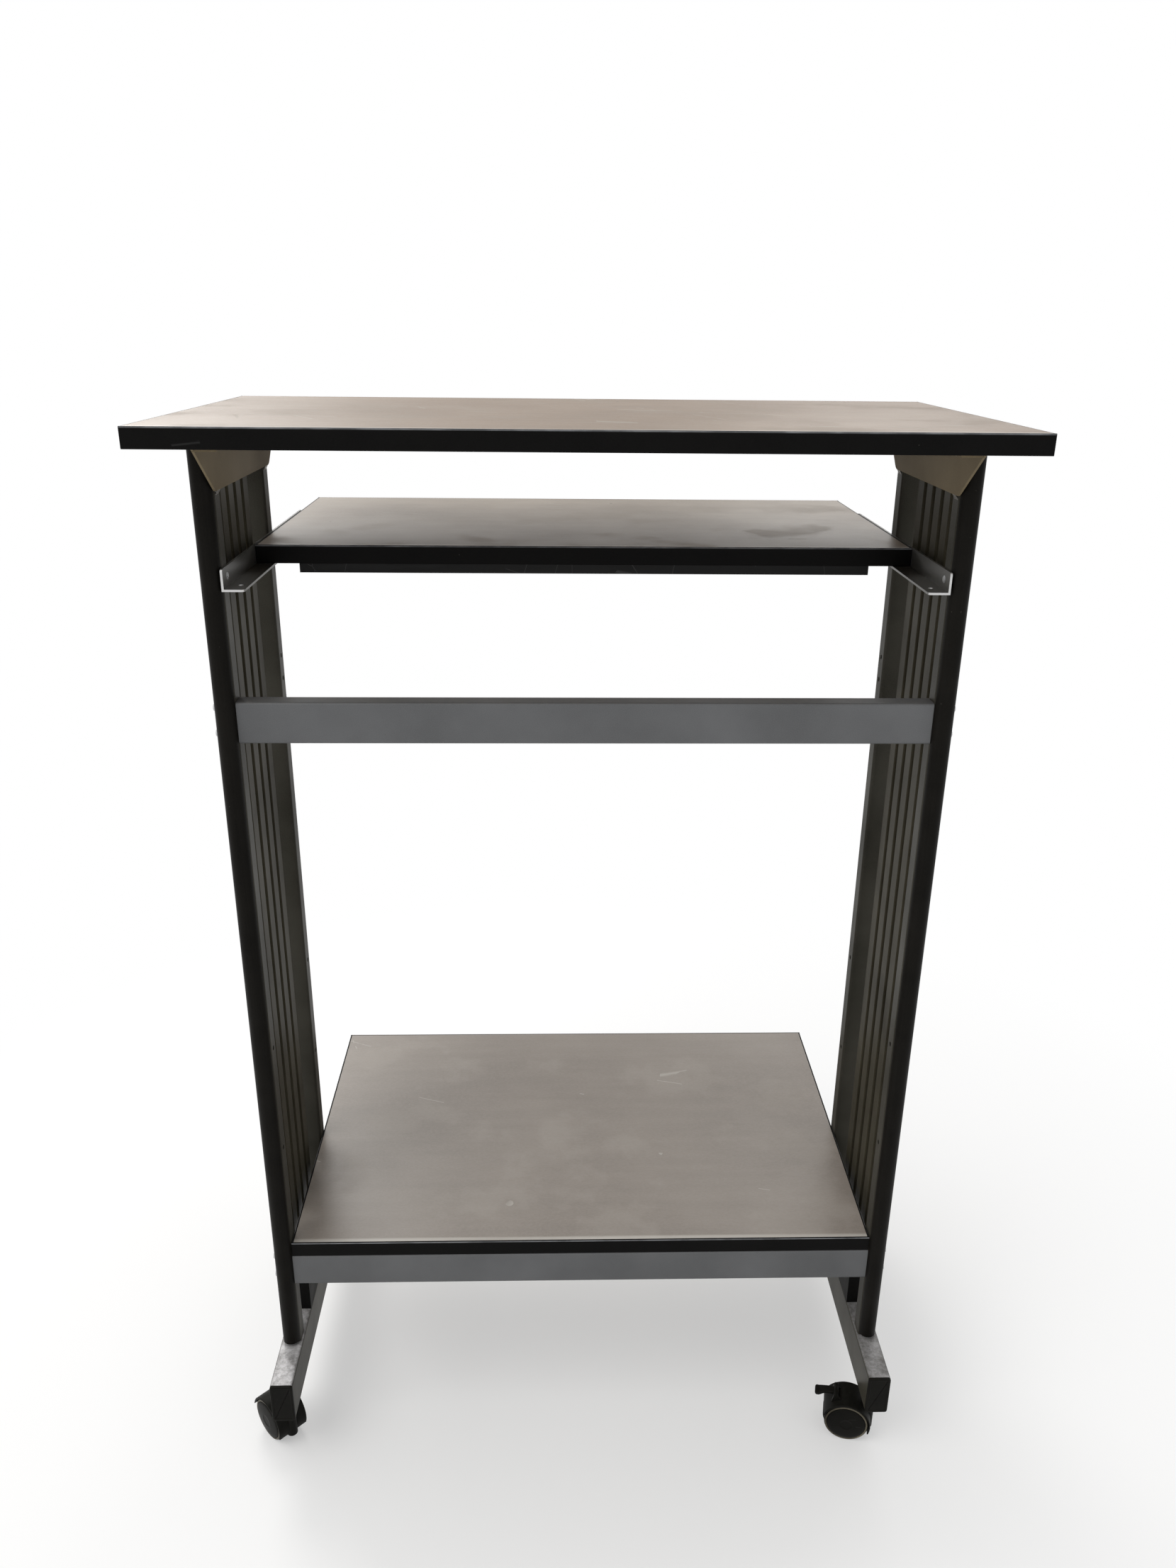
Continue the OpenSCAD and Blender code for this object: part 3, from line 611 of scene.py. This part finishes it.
def edgingFinish(name, top):
    material, tree, shader, where = newFinish(name + "Band", Specular_IOR_Level=0.04)
    patches = useGroup(tree, softPatches, where, Scale=22.0, Contrast=2.0)["Mask"]
    speckle = useGroup(tree, fineSpeckle, where, Scale=1100.0, Stretch=evenly)
    highlightLine = useGroup(tree, paintedEdgeHighlight, where, Top=top, Width=edgingLayers["highlightWidth"], Amount=1.0)
    specks = useGroup(tree, loneSpecks, where, Scale=90.0, Size=0.05)["Mask"]
    scratches = useGroup(tree, thinScratches, where, Scale=17.0, Turn=0.1, Amount=0.2)["Mask"]
    tone = mixColors(tree, patches, edgingLayers["black"], edgingLayers["soft"])
    tone = blendIn(tree, tone, speckle["Mask"], edgingLayers["speckle"])
    # painted highlight along the band's top edge
    tone = mixColors(tree, highlightLine["Mask"], tone, edgingLayers["edgeHighlight"])
    tone = layOver(tree, tone, specks, edgingLayers["speck"])
    tone = layOver(tree, tone, scratches, edgingLayers["scratch"])
    setColor(tree, shader, tone)
    setRoughness(tree, shader, ramp(tree, patches, 0.36, 0.5))
    setBump(tree, shader, speckle["Height"], 0.12, 0.0004)
    return material


for name in boardFinishes:
    dress(edgingFinish(name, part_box(name)[1].z), name + "_edging")
print("boards and edging dressed")

# silver-grey paint of the welded frame, in lit and shaded copies: the rail paint is the plain one,
# the post, slat and foot paints are darkened as painted shade and the gusset paint is warmed to
# tan as painted warm light
footPaint = {"light": (0.060, 0.056, 0.043, 1), "dark": (0.016, 0.015, 0.010, 1),
             "flake": (0.105, 0.10, 0.082, 1), "metal": 0.12, "rough": 0.37, "specular": 0.05,
             "scuff": 0.3, "chip": 0.09, "dust": 0.1}
paintFinishes = {
    # the post paint is much darker than the rail paint: painted shade
    "post": {"light": (0.050, 0.047, 0.038, 1), "dark": (0.014, 0.013, 0.009, 1),
             "flake": (0.095, 0.091, 0.078, 1), "metal": 0.15, "rough": 0.45, "specular": 0.05,
             "scuff": 0.1, "chip": 0.05, "dust": 0.12, "topHighlight": 0.0},
    # the slat paint is darker still and olive: painted shade
    "slat": {"light": (0.046, 0.041, 0.027, 1), "dark": (0.012, 0.010, 0.006, 1),
             "flake": (0.075, 0.068, 0.047, 1), "metal": 0.1, "rough": 0.45, "specular": 0.04,
             "scuff": 0.05, "chip": 0.03, "dust": 0.1, "topHighlight": 0.0},
    "rail": {"light": (0.145, 0.148, 0.153, 1), "dark": (0.095, 0.097, 0.100, 1),
             "flake": (0.21, 0.215, 0.22, 1), "metal": 0.3, "rough": 0.45, "specular": 0.12,
             "scuff": 0.05, "chip": 0.04, "dust": 0.35, "topHighlight": 0.0},
    # the gusset paint's warm tan is painted warm light on the silver-grey
    "gusset": {"light": (0.200, 0.160, 0.100, 1), "dark": (0.130, 0.104, 0.064, 1),
               "flake": (0.26, 0.215, 0.145, 1), "metal": 0.0, "rough": 0.5, "specular": 0.02,
               "scuff": 0.1, "chip": 0.05, "dust": 0.1, "topHighlight": 0.0},
    # the left foot's top carries more painted highlight than the right's, a lit and a less lit
    # copy
    "footLeftLit": {**footPaint, "topHighlight": 0.9},
    "footRightLessLit": {**footPaint, "topHighlight": 0.55},
}
paintLayers = {
    "scuff": ((0.45, 0.45, 0.44, 1), 0.5), "chip": ((0.06, 0.048, 0.04, 1), 0.8),
    "dustColor": (0.20, 0.19, 0.175, 1), "paintedTopHighlightColor": (0.66, 0.65, 0.66, 1),
    "flakeShare": 0.32,
}


def paintFinish(name, paint):
    material, tree, shader, where = newFinish(
        name + "Paint", Metallic=paint["metal"], Specular_IOR_Level=paint["specular"])
    patches = useGroup(tree, softPatches, where, Scale=9.0, Contrast=2.2)["Mask"]
    flakes = useGroup(tree, fineSpeckle, where, Scale=1300.0, Stretch=evenly)
    peel = useGroup(tree, fineSpeckle, where, Scale=260.0, Stretch=evenly)
    scuffs = useGroup(tree, thinScratches, where, Scale=30.0, Turn=0.9, Amount=paint["scuff"])
    chips = useGroup(tree, loneSpecks, where, Scale=70.0, Size=paint["chip"])["Mask"]
    dust = useGroup(tree, settledDust, where, Scale=55.0, Amount=paint["dust"])["Mask"]
    topHighlight = useGroup(tree, paintedTopHighlight, where, Amount=paint["topHighlight"])["Mask"]
    tone = mixColors(tree, patches, paint["dark"], paint["light"])
    tone = blendIn(tree, tone, flakes["Mask"], (paint["flake"], paintLayers["flakeShare"]))
    tone = layOver(tree, tone, scuffs["Mask"], paintLayers["scuff"])
    tone = layOver(tree, tone, chips, paintLayers["chip"])
    tone = mixColors(tree, dust, tone, paintLayers["dustColor"])
    # lighter tops: painted highlight
    tone = mixColors(tree, topHighlight, tone, paintLayers["paintedTopHighlightColor"])
    setColor(tree, shader, tone)
    rough = ramp(tree, patches, paint["rough"] + 0.05, paint["rough"] - 0.04)
    rough = plus(tree, rough, times(tree, chips, 0.25))
    setRoughness(tree, shader, plus(tree, rough, times(tree, dust, 0.3)))
    setBump(tree, shader, minus(tree, peel["Height"], chips), 0.10, 0.0005)
    return material


paints = {name: paintFinish(name, paint) for name, paint in paintFinishes.items()}
dress(paints["post"], "post_front_left", "post_front_right", "post_rear_left", "post_rear_right")
dress(paints["slat"], "slats_left", "slats_right")
dress(paints["rail"], "mid_rail", "lower_rail")
dress(paints["gusset"], "gusset_left", "gusset_right")
dress(paints["footLeftLit"], "foot_left")
dress(paints["footRightLessLit"], "foot_right")

# the light colour shows in the ripples as painted glints
weldBead = {"light": (0.30, 0.29, 0.27, 1), "dark": (0.07, 0.066, 0.058, 1), "ripple": 230.0,
            "height": 0.7}


def weldFinish():
    # rippled bead under the paint; its lighter ripples are painted glints
    material, tree, shader, where = newFinish("weldPaint", Metallic=0.5, Specular_IOR_Level=0.3)
    ripple = addNode(tree, "ShaderNodeTexWave", {
        "Vector": where, "Scale": weldBead["ripple"], "Distortion": 2.5, "Detail": 2.0,
        "Detail Scale": 1.5}, wave_type="BANDS", bands_direction="DIAGONAL").outputs["Fac"]
    grain = useGroup(tree, fineSpeckle, where, Scale=1500.0, Stretch=evenly)["Mask"]
    share = times(tree, ripple, ramp(tree, grain, 0.6, 1.0))
    setColor(tree, shader, mixColors(tree, share, weldBead["dark"], weldBead["light"]))
    setRoughness(tree, shader, ramp(tree, grain, 0.22, 0.4))
    setBump(tree, shader, ripple, weldBead["height"], 0.0006)
    return material


dress(weldFinish(), "post_welds")
print("frame painted")

# black plastic: post covers, shoes, caps and casters
plasticFinishes = {
    # only the covers carry the painted highlight streaks
    "cover": {"light": (0.0085, 0.0075, 0.0062, 1), "dark": (0.0045, 0.0040, 0.0034, 1),
              "rough": 0.44, "grain": 700.0, "dust": 0.1, "streak": 0.5, "scuff": 0.15},
    "shoe": {"light": (0.0060, 0.0060, 0.0058, 1), "dark": (0.0030, 0.0030, 0.0030, 1),
             "rough": 0.52, "grain": 900.0, "dust": 0.25, "streak": 0.0, "scuff": 0.1},
    "cap": {"light": (0.0100, 0.0095, 0.0078, 1), "dark": (0.0055, 0.0053, 0.0045, 1),
            "rough": 0.46, "grain": 1000.0, "dust": 0.35, "streak": 0.0, "scuff": 0.3},
    "hood": {"light": (0.0095, 0.0095, 0.0080, 1), "dark": (0.0050, 0.0050, 0.0042, 1),
             "rough": 0.40, "grain": 1100.0, "dust": 0.3, "streak": 0.0, "scuff": 0.3},
    "wheel": {"light": (0.0085, 0.0080, 0.0068, 1), "dark": (0.0045, 0.0044, 0.0036, 1),
              "rough": 0.40, "grain": 1300.0, "dust": 0.2, "streak": 0.0, "scuff": 0.5},
    # a lighter ring on the wheel rim: wear, lightened further as a painted highlight
    "rimWearAndHighlight": {"light": (0.2400, 0.2150, 0.1600, 1), "dark": (0.0300, 0.0270, 0.0200, 1),
                "rough": 0.2, "grain": 1300.0, "dust": 0.1, "streak": 0.0, "scuff": 0.5},
}
plasticLayers = {
    "grain": ((0.015, 0.014, 0.012, 1), 0.25), "scuff": ((0.09, 0.087, 0.08, 1), 0.3),
    "speck": ((0.09, 0.085, 0.075, 1), 0.35), "dust": ((0.05, 0.047, 0.04, 1), 0.5),
    "highlightStreakColor": (0.022, 0.020, 0.017, 1), "highlightStreakShare": 0.3,
}


def plasticFinish(name, plastic):
    material, tree, shader, where = newFinish(name + "Plastic", Specular_IOR_Level=0.05)
    patches = useGroup(tree, softPatches, where, Scale=26.0, Contrast=2.4)["Mask"]
    grain = useGroup(tree, fineSpeckle, where, Scale=plastic["grain"], Stretch=evenly)
    # fine lighter streaks running up the covers: painted highlights
    highlightStreaks = useGroup(tree, fineSpeckle, where, Scale=420.0, Stretch=(1.0, 1.0, 0.015))["Mask"]
    scuffs = useGroup(
        tree, thinScratches, where, Scale=42.0, Turn=0.6, Amount=plastic["scuff"])["Mask"]
    specks = useGroup(tree, loneSpecks, where, Scale=140.0, Size=0.08)["Mask"]
    dust = useGroup(tree, settledDust, where, Scale=90.0, Amount=plastic["dust"])["Mask"]
    streak = (plasticLayers["highlightStreakColor"], plasticLayers["highlightStreakShare"] * plastic["streak"])
    tone = mixColors(tree, patches, plastic["dark"], plastic["light"])
    tone = layOver(tree, tone, highlightStreaks, streak)
    tone = blendIn(tree, tone, grain["Mask"], plasticLayers["grain"])
    tone = layOver(tree, tone, scuffs, plasticLayers["scuff"])
    tone = layOver(tree, tone, specks, plasticLayers["speck"])
    tone = layOver(tree, tone, dust, plasticLayers["dust"])
    setColor(tree, shader, tone)
    rough = ramp(tree, patches, plastic["rough"] + 0.06, plastic["rough"] - 0.04)
    rough = plus(tree, rough, times(tree, scuffs, 0.2))
    setRoughness(tree, shader, plus(tree, rough, times(tree, dust, 0.4)))
    setBump(tree, shader, grain["Height"], 0.14, 0.0004)
    return material


plastics = {name: plasticFinish(name, plastic) for name, plastic in plasticFinishes.items()}
casterCorners = ("fl", "fr", "rl", "rr")
dress(plastics["cover"], "nose_front_left", "nose_front_right", "nose_rear_left",
      "nose_rear_right")
dress(plastics["shoe"], "slat_shoe_left", "slat_shoe_right", "slat_heads")
dress(plastics["hood"], *("hood_" + corner for corner in casterCorners))
print("plastic dressed")

# bare and plated steel
steelFinishes = {
    # the angle steel is darker than the bearer steel as painted shade
    "angle": {"light": (0.130, 0.127, 0.118, 1), "dark": (0.065, 0.063, 0.058, 1), "metal": 0.5,
              "rough": 0.34, "spangle": 6.0, "stretch": (1.0, 0.2, 1.0), "rust": 0.05,
              "cut": 0.75},
    "bearer": {"light": (0.210, 0.204, 0.192, 1), "dark": (0.135, 0.131, 0.122, 1),
               "metal": 0.85, "rough": 0.34, "spangle": 6.0, "stretch": (1.0, 0.2, 1.0),
               "rust": 0.05},
    "screw": {"light": (0.58, 0.585, 0.59, 1), "dark": (0.40, 0.40, 0.41, 1), "metal": 1.0,
              "rough": 0.28, "spangle": 300.0, "stretch": evenly, "rust": 0.08},
    "strip": {"light": (0.0090, 0.0088, 0.0085, 1), "dark": (0.0050, 0.0050, 0.0048, 1),
              "metal": 0.0, "rough": 0.5, "spangle": 60.0, "stretch": (0.1, 1.0, 1.0),
              "rust": 0.03},
}
steelLayers = {
    "scuff": ((0.12, 0.12, 0.12, 1), 0.35), "rust": ((0.14, 0.075, 0.04, 1), 0.7),
    "brushShare": 0.2, "cutColor": (0.80, 0.80, 0.80, 1),
}


def steelFinish(name, steel):
    material, tree, shader, where = newFinish(
        name + "Steel", Metallic=steel["metal"], Specular_IOR_Level=0.15)
    long = stretched(tree, where, steel["stretch"])
    facet = firstChannel(tree, cells(tree, long, steel["spangle"] * 4)["Color"])
    patches = useGroup(tree, softPatches, long, Scale=steel["spangle"], Contrast=2.0)["Mask"]
    brushed = useGroup(tree, fineSpeckle, where, Scale=900.0, Stretch=steel["stretch"])
    scuffs = useGroup(tree, thinScratches, where, Scale=36.0, Turn=1.4, Amount=0.5)["Mask"]
    rust = useGroup(tree, loneSpecks, where, Scale=110.0, Size=steel["rust"])["Mask"]
    share = plus(tree, times(tree, patches, 0.7), times(tree, facet, 0.3))
    tone = mixColors(tree, share, steel["dark"], steel["light"])
    tone = blendIn(tree, tone, brushed["Mask"], (steel["light"], steelLayers["brushShare"]))
    tone = layOver(tree, tone, scuffs, steelLayers["scuff"])
    if "cut" in steel:
        # bare sawn face at the near end
        sawn = ramp(tree, surfaceNormal(tree)["Y"], steel["cut"], 0.0, -0.8, -0.3)
        tone = mixColors(tree, sawn, tone, steelLayers["cutColor"])
    tone = layOver(tree, tone, rust, steelLayers["rust"])
    setColor(tree, shader, tone)
    rough = ramp(tree, facet, steel["rough"] - 0.05, steel["rough"] + 0.08)
    setRoughness(tree, shader, plus(tree, rough, times(tree, rust, 0.4)))
    setBump(tree, shader, brushed["Height"], 0.10, 0.0003)
    return material


steels = {name: steelFinish(name, steel) for name, steel in steelFinishes.items()}
dress(steels["angle"], "runner_left", "runner_right")
dress(steels["bearer"], "bearer_left", "bearer_right")
dress(steels["strip"], "tray_stiffener")
dress(steels["screw"], "rail_end_plates", "frame_bolts", "bearer_nuts", "runner_screws",
      "caster_stems", "stem_nuts", *("axle_" + corner for corner in casterCorners))
print("steel dressed")

# each step is how far a face goes inward and how far out along its normal
wheelShape = {
    "radius": 0.025, "width": 0.0125, "dome": 0.002, "sides": 72, "shoulder": 0.002,
    "heel": 0.0012, "hub": 0.008, "bore": 0.00305, "boreDepth": 0.0095,
    "cover": ((0.0006, 0), (0.0003, -0.0007), (0.0004, 0), (0.0003, 0.0009), (0.0003, 0.0002),
              (0.0030, 0.0005), (0.0046, 0.0006), (0.0062, 0.0004), (0.0003, -0.00015),
              (0.0025, 0)),
    "dish": ((0.0024, 0), (0.0013, -0.0038), (0.0111, -0.0002), (0.0009, 0.004)),
    "ringInner": 0.0219, "ringOuter": 0.0243, "ringHeight": 0.0094, "smooth": 28,
}


def makeWheel():
    # outer face up, inner face on the ground plane, the axle along Z
    body = wheelShape["width"] - wheelShape["dome"]
    wheel = addRod(wheelShape["sides"], wheelShape["radius"], body, (0, 0, body / 2))
    pick(wheel, "EDGE", lambda a, b: a.z > body - hair and b.z > body - hair)
    bpy.ops.mesh.bevel(offset=wheelShape["shoulder"], segments=5)
    pick(wheel, "EDGE", lambda a, b: a.z < hair and b.z < hair)
    bpy.ops.mesh.bevel(offset=wheelShape["heel"], segments=4)
    # rim land, groove and domed cover
    pick(wheel, "FACE", lambda c, n: n.z > 0.99 and c.xy.length < 0.001)
    insetSteps(*wheelShape["cover"])
    # dished inner side with the hub and the axle's bore
    pick(wheel, "FACE", lambda c, n: n.z < -0.99 and c.xy.length < 0.001)
    insetSteps(*wheelShape["dish"], (wheelShape["hub"] - wheelShape["bore"], 0))
    pushOut(0, 0, wheelShape["boreDepth"])
    closeUp(wheel, wheelShape["smooth"])
    return wheel


def addWheels():
    pattern = makeWheel()
    rolls = [joint for joint in frame["joints"] if joint["name"].startswith("roll_")]
    for joint in rolls:
        low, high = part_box(joint["child"])
        pivot, centre = Vector(joint["pos_m"]), (low + high) / 2
        outward = (centre - pivot).normalized()
        inner = centre - outward * wheelShape["width"] / 2
        side = upward.cross(outward)
        name = joint["child"].replace("wheel", "casterWheel")
        wheel = placeCopy(pattern, name, side, outward.cross(side), outward, inner)
        wheel.data.materials.append(plastics["wheel"])
        wheel.data.materials.append(plastics["rimWearAndHighlight"])
        # the rim ring's faces get the worn and highlighted finish
        for face in wheel.data.polygons:
            away = face.center - inner
            height = away.dot(outward)
            reach = (away - outward * height).length
            onRing = wheelShape["ringInner"] < reach < wheelShape["ringOuter"]
            if onRing and height > wheelShape["ringHeight"]:
                face.material_index = 1
        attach(wheel, joint["child"])
        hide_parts(joint["child"])
    bpy.data.objects.remove(pattern)


addWheels()
print("wheels modelled")

# each bend has its share of the length, how wide it is and its share of the droop
leverShape = {
    "length": 0.024, "neck": 0.0088, "thick": 0.0036, "droop": 0.0011, "corner": 0.0022,
    "edge": 0.0008, "hub": 0.003, "hubWidth": 0.0126, "pin": 0.0014, "pinLength": 0.0184,
    "rodEdge": 0.0004, "smooth": 35,
    "bends": ((0.35, 1.0, 0.2), (0.5, 1.03, 0.45), (0.62, 1.09, 0.75), (0.72, 1.13, 1.0),
              (0.82, 1.07, 0.9)),
}


def makeLever():
    # hub along Y at the origin, pedal along X
    length = leverShape["length"]
    lever = addBlock((length, leverShape["neck"], leverShape["thick"]), (length / 2, 0, 0))
    pick(lever, "EDGE", lambda a, b: abs(a.z - b.z) > 0.001 and a.x > length / 2)
    bpy.ops.mesh.bevel(offset=leverShape["corner"], segments=6)
    for bend in leverShape["bends"]:
        bpy.ops.mesh.select_all(action="SELECT")
        bpy.ops.mesh.bisect(plane_co=(length * bend[0], 0, 0), plane_no=(1, 0, 0))
    for share, spread, drop in leverShape["bends"]:
        pick(lever, "VERT", lambda p: p.x > length * share - hair)
        bpy.ops.transform.resize(value=(1, spread, 1))
        bpy.ops.transform.translate(value=(0, 0, -leverShape["droop"] * drop))
    bpy.ops.object.mode_set(mode="OBJECT")
    makeActive(lever)
    bpy.ops.object.modifier_add(type="BEVEL")
    lever.modifiers[-1].width = leverShape["edge"]
    lever.modifiers[-1].segments = 3
    bpy.ops.object.modifier_apply(modifier=lever.modifiers[-1].name)
    rods = [lever]
    for radius, depth in ((leverShape["hub"], leverShape["hubWidth"]),
                          (leverShape["pin"], leverShape["pinLength"])):
        rod = addRod(32, radius, depth, turn=(math.pi / 2, 0, 0))
        pick(rod, "EDGE", lambda a, b: abs(a.y - b.y) < hair)
        bpy.ops.mesh.bevel(offset=leverShape["rodEdge"], segments=3)
        bpy.ops.object.mode_set(mode="OBJECT")
        rods.append(rod)
    lever = joinPieces(rods)
    closeUp(lever, leverShape["smooth"])
    return lever


def addLevers():
    pattern = makeLever()
    presses = [joint for joint in frame["joints"] if joint["name"].startswith("brake_press_")]
    for joint in presses:
        across = Vector(joint["axis"]).normalized()
        along = across.cross(upward)
        corner = joint["name"][-2:]
        place = Vector(joint["pos_m"])
        lever = placeCopy(pattern, "brakePedal_" + corner, along, across, upward, place)
        lever.data.materials.append(plastics["hood"])
        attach(lever, joint["child"])
        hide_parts("brake_lever_" + corner)
    bpy.data.objects.remove(pattern)


addLevers()
print("brake pedals modelled")

capShape = {"wide": 0.025, "high": 0.050, "corner": 0.0028, "lip": 0.0011, "ledge": 0.0018,
            "wall": 0.0016, "plug": 0.012, "floor": 0.001, "smooth": 24,
            "face": ((0.0016, 0), (0.0005, -0.0003))}


def makeCap(thick):
    # face towards -Y, plug towards +Y
    cap = addBlock((capShape["wide"], thick, capShape["high"]), (0, thick / 2, 0))
    pick(cap, "EDGE", lambda a, b: abs(a.y - b.y) > 0.001)
    bpy.ops.mesh.bevel(offset=capShape["corner"], segments=6)
    pick(cap, "EDGE", lambda a, b: a.y < hair and b.y < hair)
    bpy.ops.mesh.bevel(offset=capShape["lip"], segments=4)
    pick(cap, "FACE", lambda c, n: n.y < -0.999 and c.y < hair / 10)
    insetSteps(*capShape["face"])
    pick(cap, "FACE", lambda c, n: n.y > 0.99 and c.y > thick - hair)
    insetSteps((capShape["ledge"], 0))
    pushOut(0, capShape["plug"], 0)
    insetSteps((capShape["wall"], 0))
    pushOut(0, -capShape["plug"] + capShape["floor"], 0)
    closeUp(cap, capShape["smooth"])
    return cap


def addCaps():
    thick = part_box("foot_left")[0].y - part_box("foot_caps")[0].y
    pattern = makeCap(thick)
    caps = []
    for low, high in solidsOf("foot_caps"):
        centre = (low + high) / 2
        near = centre.y < 0
        face = Vector((centre.x, low.y if near else high.y, centre.z))
        way = 1 if near else -1
        caps.append(placeCopy(
            pattern, "tubeCap", Vector((way, 0, 0)), Vector((0, way, 0)), upward, face))
    bpy.data.objects.remove(pattern)
    cap = joinPieces(caps)
    cap.name = cap.data.name = "tubeCaps"
    cap.data.materials.append(plastics["cap"])
    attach(cap, "frame")
    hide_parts("foot_caps")


addCaps()
print("tube caps modelled")

screwShape = {"head": 0.0046, "height": 0.0028, "dome": 0.0015, "shank": 0.002,
              "length": 0.0124, "point": 0.003, "pointWidth": 0.2, "wing": 0.0011,
              "reach": 0.0054, "deep": 0.0017, "above": 0.0002, "taper": 0.5,
              "smooth": 32, "firstTurn": 11, "nextTurn": 37}


def makeScrew():
    # head up from the origin, shank down
    height, deep, above = screwShape["height"], screwShape["deep"], screwShape["above"]
    screw = addRod(32, screwShape["head"], height, (0, 0, height / 2))
    pick(screw, "EDGE", lambda a, b: a.z > height - hair and b.z > height - hair)
    bpy.ops.mesh.bevel(offset=screwShape["dome"], segments=5)
    pick(screw, "FACE", lambda c, n: n.z < -0.99 and c.xy.length < 0.001)
    insetSteps((screwShape["head"] - screwShape["shank"], 0))
    pushOut(0, 0, screwShape["point"] - screwShape["length"])
    pushOut(0, 0, -screwShape["point"])
    bpy.ops.transform.resize(value=(screwShape["pointWidth"], screwShape["pointWidth"], 1))
    bpy.ops.object.mode_set(mode="OBJECT")
    for turn in (0.0, math.pi / 2):
        size = (screwShape["reach"], screwShape["wing"], deep + above * 2)
        wing = addBlock(size, (0, 0, height - deep / 2 + above), turn)
        pick(wing, "VERT", lambda p: p.z < height - deep / 2)
        bpy.ops.transform.resize(value=(screwShape["taper"], screwShape["taper"], 1))
        bpy.ops.object.mode_set(mode="OBJECT")
        cutWith(screw, wing)
    closeUp(screw, screwShape["smooth"])
    return screw


def addScrews(name, body, node):
    # one screw for each solid of the node, head down, each with its recess turned its own way
    pattern = makeScrew()
    screws = []
    for number, (low, high) in enumerate(solidsOf(node)):
        turn = math.radians(screwShape["nextTurn"] * number + screwShape["firstTurn"])
        along = Vector((math.cos(turn), math.sin(turn), 0))
        down = -upward
        middle = (low + high) / 2
        under = Vector((middle.x, middle.y, low.z + screwShape["height"]))
        screws.append(placeCopy(pattern, name, along, down.cross(along), down, under))
    bpy.data.objects.remove(pattern)
    screw = joinPieces(screws)
    screw.name = screw.data.name = name
    screw.data.materials.append(steels["screw"])
    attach(screw, body)
    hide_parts(node)


addScrews("boardScrews", "frame", "wood_screws")
addScrews("stripScrews", "tray", "stiffener_screws")
print("screws modelled")

bpy.context.scene.view_settings.view_transform = "Standard"
